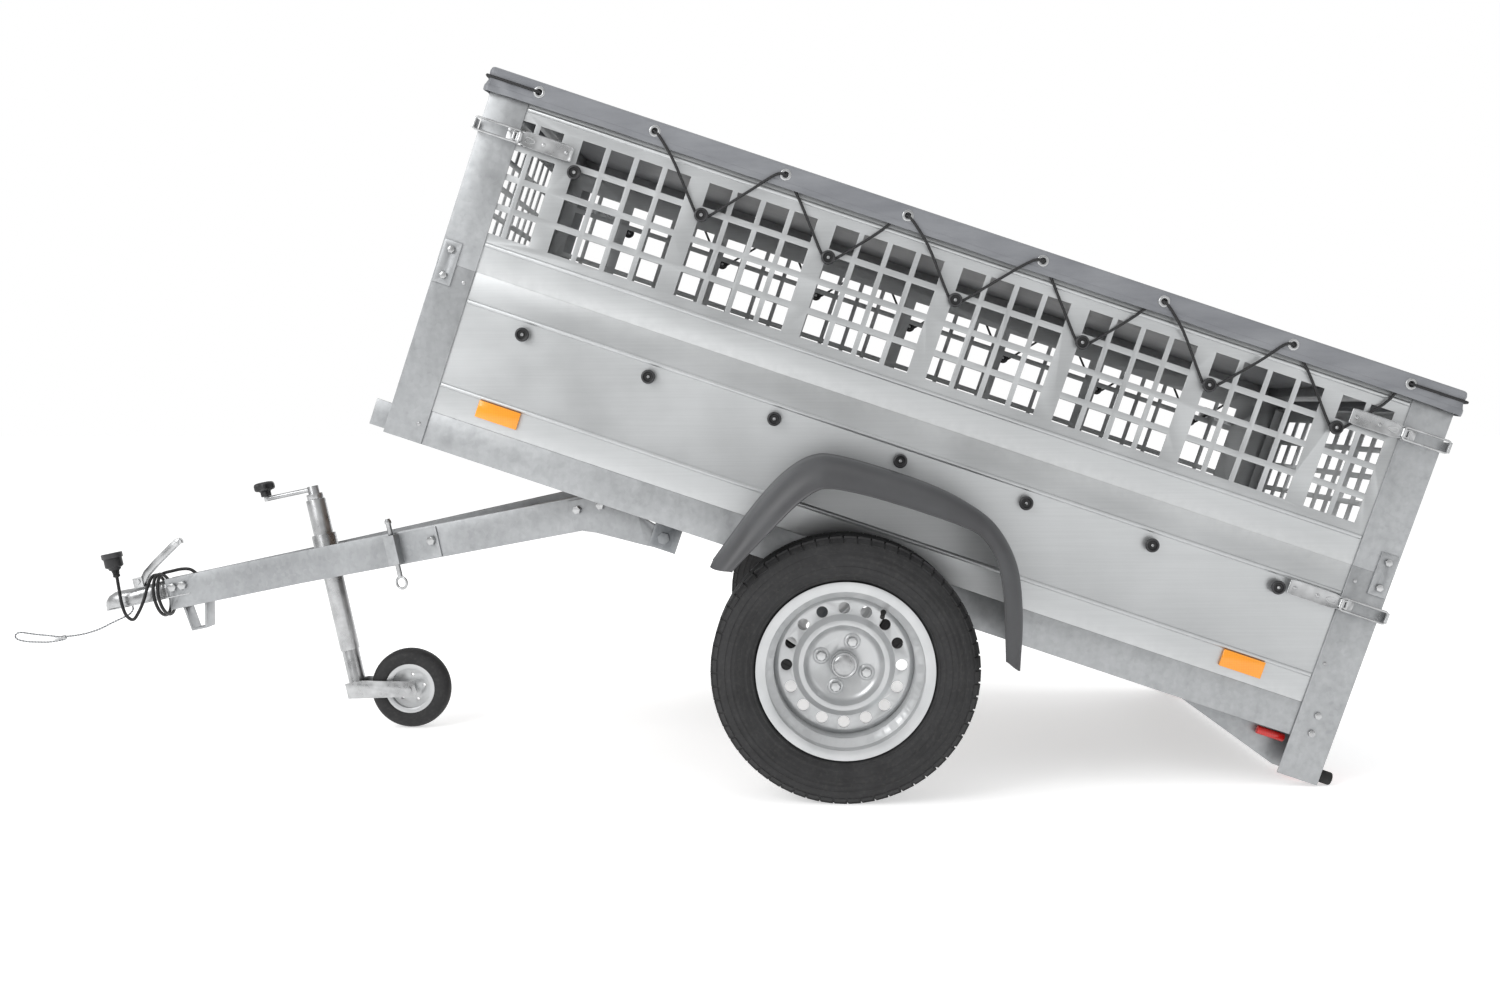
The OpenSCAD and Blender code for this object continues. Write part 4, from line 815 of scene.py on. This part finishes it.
for hand, side in (("left", -1), ("right", 1)):
    end, body = hand.title(), "wheel_" + hand
    cx, cy, cz = wheel["centre"]
    hub = Vector((cx, side * cy, cz)) * mm
    outward = Vector((0, side, 0))
    section = wheel["half"] + [(r, -w) for r, w in reversed(wheel["half"])]
    asPiece("tyre" + end, lathe("tyre" + hand, section, hub, (0, 1, 0), 120, closed=True), "tyre_rubber", body,
            nodes=["tyre_" + hand], smoothAt=42)
    blocks, lugs = [], []
    for k in range(wheel["blocks"]):
        for sideWays, late in ((1, 0), (-1, 0.5)):
            angle = 2 * math.pi * (k + late + 0.13) / wheel["blocks"]
            out = Vector((math.cos(angle), 0, math.sin(angle)))
            tangent = Vector((-math.sin(angle), 0, math.cos(angle)))
            across = Vector((0, sideWays, 0))
            blocks.append((hub + (out * wheel["blockAt"][0] + across * wheel["blockAt"][1]) * mm, out, tangent))
            lean = (out * wheel["lugLean"][0] + across * wheel["lugLean"][1]).normalized()
            lugs.append((hub + (out * wheel["lugAt"][0] + across * wheel["lugAt"][1]) * mm, lean, tangent))
    setCopies("treadBlocks" + end, blocks, blockMesh("treadBlock", wheel["blockLong"], wheel["blockWide"], 4.6,
                                                     wheel["shear"], 0.95), "tyre_rubber", body, smoothAt=30)
    setCopies("shoulderLugs" + end, lugs, blockMesh("shoulderLug", wheel["blockLong"] - 1, 12, 2.6, 0, 0.9),
              "tyre_rubber", body, smoothAt=30)
    finishNode("rim_" + hand, "rim_paint", 0.8, "rim" + end)
    turn = math.radians(wheel["valveTurn"])
    radial = Vector((math.cos(turn), 0, math.sin(turn)))
    stem = hub + (radial * wheel["valveRadius"] + outward * 8) * mm
    asPiece("valve" + end, lathe("valve" + hand, wheel["valve"], stem, outward - radial * 0.25, 24), "rubber", body)
    asPiece("hubCap" + end, lathe("hubCap" + hand, wheel["cap"], hub - outward * 14 * mm, outward, 48), "zinc_plate",
            body)
    pads = []
    for k in range(wheel["pads"]):
        angle = 2 * math.pi * k / wheel["pads"] + math.radians(wheel["padTurn"])
        place = Vector((math.cos(angle), 0, -math.sin(angle))) * wheel["padRadius"] - outward * 26
        pads.append((hub + place * mm, outward, Vector((1, 0, 0))))
    setCopies("boltPads" + end, pads, lathe("boltPad", wheel["pad"], origin, zUp, 32, closed=True), "rim_paint", body)
print("wheels ready")


# mudguards: moulded arches with a rolled outer lip
guard = {"edge": [(-327, 111), (-270, 291), (-215, 382), (-151, 410), (142, 410), (251, 339), (305, 229), (337, 111)],
         "lip": [(-281, 122), (-228, 237), (-191, 311), (-149, 351), (130, 357), (183, 341), (235, 279), (292, 127)],
         "inner": 545, "shoulder": 672, "outer": 737, "wall": 3}


def roundedLine(points, times=4):
    for _ in range(times):
        cut = [points[0]]
        for a, b in zip(points, points[1:]):
            cut.append((a[0] * 0.75 + b[0] * 0.25, a[1] * 0.75 + b[1] * 0.25))
            cut.append((a[0] * 0.25 + b[0] * 0.75, a[1] * 0.25 + b[1] * 0.75))
        points = cut + [points[-1]]
    return points


def guardMesh(sizes, side):
    edge, lip = roundedLine(sizes["edge"]), roundedLine(sizes["lip"])
    inner, shoulder, outer = sizes["inner"], sizes["shoulder"], sizes["outer"]
    section = [(inner, -0.02), (inner + 6, 0.0)] + [(inner + (shoulder - inner) * k / 6, 0.0) for k in range(1, 7)]
    for degrees in range(9, 91, 9):
        angle = math.radians(degrees)
        section.append((shoulder + (outer - shoulder) * math.sin(angle), 0.9 * (1 - math.cos(angle))))
    section += [(outer + 0.8, 0.93), (outer + 2.4, 0.95), (outer + 2.6, 0.985), (outer + 1.2, 1.0), (outer - 2, 1.0)]
    points = [placed(boxFrame, ex + (lx - ex) * share, side * y, ez + (lz - ez) * share)
              for (ex, ez), (lx, lz) in zip(edge, lip) for y, share in section]
    faces = gridFaces(len(edge), len(section), False)
    return meshFrom("guardSide", points, faces if side < 0 else [tuple(reversed(quad)) for quad in faces])


def walled(name, mesh, wallMm, bevelMm, offset):
    # sheet given its wall, and its rim rounded over
    piece = link(bpy.data.objects.new(name, mesh))
    addStep(piece, "wall", "SOLIDIFY", thickness=wallMm * mm, offset=offset)
    addStep(piece, "rolledRim", "BEVEL", width=bevelMm * mm, segments=2, angle_limit=math.radians(50))
    done = evaluated(piece)
    bpy.data.objects.remove(piece)
    return done


guards = []
for side in bothSides:
    sheet = guardMesh(guard, side)
    if sum(face.normal.z * face.area for face in sheet.polygons) < 0:
        sheet.flip_normals()
    guards.append(walled("guardWall", sheet, guard["wall"], 0.9, -1))
asPiece("mudguards", joinMeshes("mudguards", guards), "fender_plastic", "chassis", nodes=["fenders"], smoothAt=50)
print("mudguards ready")


# jockey wheel and its crank
jockey = {"centre": (-740, 0, -266.5),
          "half": [(62, 21), (66, 23.5), (72, 24.6), (80, 24.8), (88, 23.2), (94, 19), (97.8, 12), (99.6, 5)]}
section = jockey["half"] + [(r, -w) for r, w in reversed(jockey["half"])]
asPiece("jockeyTyre", lathe("jockeyTyre", section, placed(barFrame, *jockey["centre"]), (0, 1, 0), 96, closed=True),
        "tyre_rubber", "jockey_wheel", nodes=["jockey_tyre"])
finishNode("jockey_rim", "rim_paint", 0.8, "jockeyRim")
knob = {"at": (-990, 0, 277.3), "lobes": (6, 0.075),
        "turned": [(5.4, 0), (11.5, 0), (12.6, 1.5), (12.6, 11.5), (15.5, 14.2), (21.5, 15.5), (24.6, 18), (25.1, 22),
                   (25, 29), (23.6, 33), (20, 35.4), (12, 36.6), (8, 36.2), (0, 36)]}
asPiece("crankKnob", lathe("crankKnob", knob["turned"], placed(barFrame, *knob["at"]), upBar, 96,
                           lobes=knob["lobes"]), "black_plastic", "crank_knob", nodes=["crank_knob"], smoothAt=40)
print("jockey wheel ready")


# loose helpers for pressed and bent fittings: spots come from a function that turns millimetres into the frame's metres
def brick(spot, low, high):
    corners = [spot(x, y, z) for x in (low[0], high[0]) for y in (low[1], high[1]) for z in (low[2], high[2])]
    return meshFrom("brick", corners,
                    [(0, 1, 3, 2), (4, 6, 7, 5), (0, 4, 5, 1), (2, 3, 7, 6), (0, 2, 6, 4), (1, 5, 7, 3)])


def pressing(name, rows, wallMm, bevelMm=0.5):
    # sheet metal drawn through rows of section points
    faces = gridFaces(len(rows), len(rows[0]), False)
    return walled(name, meshFrom(name, [p for row in rows for p in row], faces), wallMm, bevelMm, 0)


def fitting(name, node, meshes, finish, smoothAt=40):
    return asPiece(name, joinMeshes(name, meshes), finish, frame["nodes"][node]["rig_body"], nodes=[node],
                   smoothAt=smoothAt)


# over-centre latches: a channel lever with rolled edges, its wire bow and the plate that hooks round the corner
latch = {"postSide": 543, "places": {"front": (-1000, 822, 1), "rear": (966, 822, -1), "gate": (966, 445, -1)},
         "reach": 84, "bowAt": (15, 16.5), "bowHalf": 13, "bend": 5, "wire": 2.4, "web": 11.2,
         "sections": [(6.5, 9, 0.6), (12, 9.5, 2.5), (20, 12, 4), (30, 15, 5), (60, 15.6, 5), (100, 15.6, 5),
                      (120, 15.6, 5), (127, 14.5, 4.6)],
         "hook": [(1.6, 14), (-1, 17.5), (-3.2, 17), (-3.4, 12), (-2.2, 4), (-1.2, -8), (0, -19)]}


def latchSpot(place, side):
    x, z, way = latch["places"][place]
    return lambda lx, ly, lz: placed(boxFrame, x + way * lx, side * (latch["postSide"] + ly), z + lz)


def leverMeshes(spot):
    rows, web = [], latch["web"]
    for x, half, lip in latch["sections"]:
        left = [(-half, web + lip), (-half, 12.6), (-half + 0.5, 11.6), (-half + 1.8, web)]
        rows.append([spot(x, y, z) for z, y in left + [(0, web)] + [(-z, y) for z, y in reversed(left)]])
    rows.append([spot(129.5, web + 4.8, z) for z in (-14.4, -14.2, -13.8, -12.6, 0, 12.6, 13.8, 14.2, 14.4)])
    outward, pin = [spot(*way) - spot(0, 0, 0) for way in ((0, 1, 0), (0, 0, 1))]
    dome = [(0, 0), (4.6, 0), (4.4, 1.2), (3.2, 2.4), (1.4, 2.9), (0, 3)]
    stamped = [spot(32 + 15 * math.cos(a) * (1 if math.cos(a) > 0 else 0.4), 12.6, 5.5 * math.sin(a))
               for a in [2 * math.pi * k / 20 for k in range(21)]]
    return ([pressing("leverChannel", rows, 1.8), tube("stampedRidge", stamped, 1.4, 8)]
            + [lathe("leverRivet", dome, spot(x, 11.6, 0), outward, 20) for x in (116, 66)]
            + [lathe("leverPin", [(0, -14), (3.4, -14), (3.4, 14), (0, 14)], spot(0, 8.5, 0), pin, 20),
               lathe("bowBoss", [(3, -9), (5, -8.6), (5, 8.6), (3, 9)], spot(15, 15.5, 0), pin, 24, closed=True)]
            + [brick(spot, (-1.2, 8, low), (15, 12, low + 2.4)) for low in (-9, 6.6)])


def bowMeshes(spot):
    (x, y), half, bend, reach = latch["bowAt"], latch["bowHalf"], latch["bend"], latch["reach"]
    near = [(x, bend - half), (x - bend * 0.3, bend * 0.3 - half), (x - bend, -half), (bend - reach, -half),
            (bend * 0.3 - reach, bend * 0.3 - half), (-reach, bend - half)]
    loop = near + [(along, -z) for along, z in reversed(near)] + near[:1]
    hook = [[spot(across - reach, out, z) for across, out in latch["hook"]] for z in (-11.5, -10.5, 0, 10.5, 11.5)]
    wire = tube("bowWire", [spot(along, y, z) for along, z in loop], latch["wire"], 12)
    return [wire, pressing("bowHook", hook, 2.2)]


for place in ("front", "rear", "gate"):
    for hand, side in (("left", -1), ("right", 1)):
        spot = latchSpot(place, side)
        ends = place.title() + hand.title()
        fitting("lever" + ends, "lever_" + place + "_" + hand, leverMeshes(spot), "zinc_plate")
        fitting("bow" + ends, "bow_" + place + "_" + hand, bowMeshes(spot), "zinc_plate")
print("latches ready")


# coupling: a drawn steel head, open underneath, with a thin flange, cheeks for the two bolts and a bent channel handle
def barPoint(x, y, z):
    return placed(barFrame, x, y, z)


head = {"low": 84, "flange": 81.5, "lip": 5.5, "handlePin": (-1353, 136),
        "stations": [(-1447.6, 2, 4), (-1446, 9, 12), (-1440, 19, 22), (-1430, 27, 31), (-1415, 32, 37),
                     (-1396, 32, 37), (-1372, 29.5, 36), (-1340, 28.5, 37), (-1300, 28.5, 39), (-1222, 28.5, 39)],
        "pivotBolt": [(0, -17), (7, -17), (7.4, -16), (7.4, -12.5), (10, -12.5), (10, 12.5), (7.4, 12.5), (7.4, 16),
                      (7, 17), (0, 17)],
        "baseBolt": [(0, -34), (9.6, -34), (9.6, -28), (13, -27.6), (13, -25), (0, -25)],
        "handle": [(-1359, 128, 7), (-1347, 142, 7.6), (-1334, 158, 8), (-1306, 178, 8), (-1276, 197, 8),
                   (-1254, 211, 8.2), (-1240, 219, 8), (-1229, 221, 7), (-1224, 215, 5.5), (-1224, 207, 4)],
        "eye": [(3, -9.4), (6.4, -9.2), (6.8, -8), (6.8, 8), (6.4, 9.2), (3, 9.4)]}


def headRow(x, half, high):
    row = []
    for k in range(25):
        angle = math.pi * k / 24
        c, s = math.cos(angle), math.sin(angle)
        row.append(barPoint(x, -half * math.copysign(abs(c) ** 0.55, c), head["low"] + high * abs(s) ** 0.6))
    return row


def flangeRows(side):
    return [[barPoint(x, side * (half + head["lip"]), head["flange"]), barPoint(x, side * half, head["flange"] + 0.6)]
            for x, half, high in head["stations"]]


def handleRows(line, deep, shallow):
    # the handle is a channel open underneath, deeper along its grip than at its turned-down end
    rows = []
    for i, (x, z, half) in enumerate(line):
        before, after = line[max(i - 1, 0)], line[min(i + 1, len(line) - 1)]
        run = Vector((after[0] - before[0], 0, after[1] - before[1])).normalized()
        sink = Vector((run.z, 0, -run.x)) * (deep if i < 7 else shallow)
        left = [(-half, 1), (-half, 0.2), (-half + 1.6, 0)]
        rows.append([barPoint(x + sink.x * part, y, z + sink.z * part)
                     for y, part in left + [(-y, part) for y, part in reversed(left)]])
    return rows


pinLine = barPoint(0, 1, 0) - barPoint(0, 0, 0)
fitting("couplingHead", "coupling_body",
        [pressing("drawnHead", [headRow(*station) for station in head["stations"]], 3, 0.4)]
        + [pressing("flange", flangeRows(side), 2.6, 0.4) for side in bothSides]
        + [brick(barPoint, (-1268, side * 28.6 - 1.6, 94), (-1224, side * 28.6 + 1.6, 119)) for side in bothSides]
        + [brick(barPoint, (-1365, side * 11.2 - 2.2, 119), (-1341, side * 11.2 + 2.2, 146)) for side in bothSides]
        + [lathe("pivotBolt", head["pivotBolt"], barPoint(head["handlePin"][0], 0, head["handlePin"][1]), pinLine, 28),
           lathe("baseBolt", head["baseBolt"], barPoint(-1390, 0, 101), pinLine, 6)], "zinc_plate", 45)
fitting("couplingHandle", "coupling_handle",
        [pressing("handleChannel", handleRows(head["handle"], 15, 9), 2.2, 0.5),
         lathe("handleEye", head["eye"], barPoint(-1242, 0, 211), pinLine, 28, closed=True),
         brick(barPoint, (-1356, -6.5, 126), (-1350, 6.5, 140))], "zinc_plate")
print("coupling ready")


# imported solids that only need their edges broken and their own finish
pressed = {  # node: finish, edge radius in mm
    "side_sills": ("galvanised", 1.2), "crossmembers": ("galvanisedDark", 1.0), "floor_panel": ("plywood", 0.6),
    "side_boards": ("board_sheet", 0.8), "front_board": ("board_sheet", 0.8), "lower_posts": ("galvanised", 1.2),
    "upper_posts": ("galvanised", 1.2), "joining_plates": ("galvanised", 0.9), "mesh_sides": ("board_sheet", 0.5),
    "upper_end_rails": ("galvanised", 1.0), "side_reflectors": ("amber", 1.4), "body_fasteners": ("zinc_plate", 0.6),
    "latch_bases": ("zinc_plate", 0.5), "tip_brackets": ("galvanisedDark", 1.0), "axle_beam": ("galvanisedDark", 2.0),
    "rear_light_beam": ("galvanised", 0.8), "rear_lamps": ("red_lens", 1.6),
    "rubber_bumpers": ("rubber", 2.0), "drawbar_beams": ("galvanised", 1.3), "pivot_arms": ("galvanised", 1.2),
    "jockey_clamp": ("zinc_plate", 1.0), "jockey_outer_tube": ("zinc_plate", 0.6),
    "front_stand": ("galvanised", 1.0), "tip_catch_bracket": ("galvanised", 0.9), "drawbar_bolts": ("zinc_plate", 0.8),
    "crank_handle": ("zinc_plate", 1.0), "spindle_nut": ("brass_nut", 0.5), "jockey_fork": ("zinc_plate", 0.9),
    "tailgate": ("board_sheet", 0.8), "front_mesh_gate": ("board_sheet", 0.5), "rear_mesh_gate": ("board_sheet", 0.5),
    "tip_catch_pin": ("zinc_plate", 0.6)}
for node, (finish, edge) in pressed.items():
    finishNode(node, finish, edge)
print("pressed parts ready:", len(pressed))


# floor and light
light = {"floor": 30, "floorGlow": 0.52, "sky": 0.6,
         "lamps": {  # place, aim, width in m, power in W
             "keyLeft": ((-3.6, -3.8, 3.6), (-0.3, 0, 0.6), 3.4, 150),
             "fillRight": ((4.2, -3.2, 2.6), (0.3, 0, 0.6), 2.8, 16),
             "topSoft": ((0.1, 0.2, 4.6), (0.1, 0, 0.6), 4.5, 42),
             "backEdge": ((0.2, 4.4, 2.6), (0.1, 0, 0.8), 3.0, 40)}}


def studio(sizes):
    far, white = sizes["floor"], (1, 1, 1, 1)
    floorMesh = meshFrom("studioFloor", [(-far, -far, 0), (far, -far, 0), (far, far, 0), (-far, far, 0)],
                         [(0, 1, 2, 3)])
    floorPaint = bpy.data.materials.new("mattPaperFloor")  # plain white paper sweep
    floorPaint.use_nodes = True
    setSockets(floorPaint.node_tree.nodes["Principled BSDF"], Base_Color=hexColour("#f2f2f2"), Roughness=0.9,
               Emission_Color=white, Emission_Strength=sizes["floorGlow"])
    floorMesh.materials.append(floorPaint)
    floor = link(bpy.data.objects.new("studioFloor", floorMesh))
    for name, (place, target, wide, power) in sizes["lamps"].items():
        lamp = bpy.data.lights.new(name, "AREA")
        lamp.size = wide
        lamp.energy = power
        holder = link(bpy.data.objects.new(name, lamp))
        holder.location = place
        holder.rotation_euler = (Vector(target) - Vector(place)).to_track_quat("-Z", "Y").to_euler()
    world = bpy.data.worlds.new("studioWorld")
    world.use_nodes = True
    sky = setSockets(world.node_tree.nodes["Background"], Color=white, Strength=sizes["sky"])
    seen = addNode(world, "Background", Color=white, Strength=1.0)  # behind the trailer the lens sees plain white
    ray = addNode(world, "LightPath").outputs["Is Camera Ray"]
    pick = addNode(world, "MixShader", i0=ray, i1=sky, i2=seen)
    setSockets(world.node_tree.nodes["World Output"], Surface=pick)
    bpy.context.scene.world = world


studio(light)
bpy.context.scene.view_settings.view_transform = "Standard"
print("studio ready")
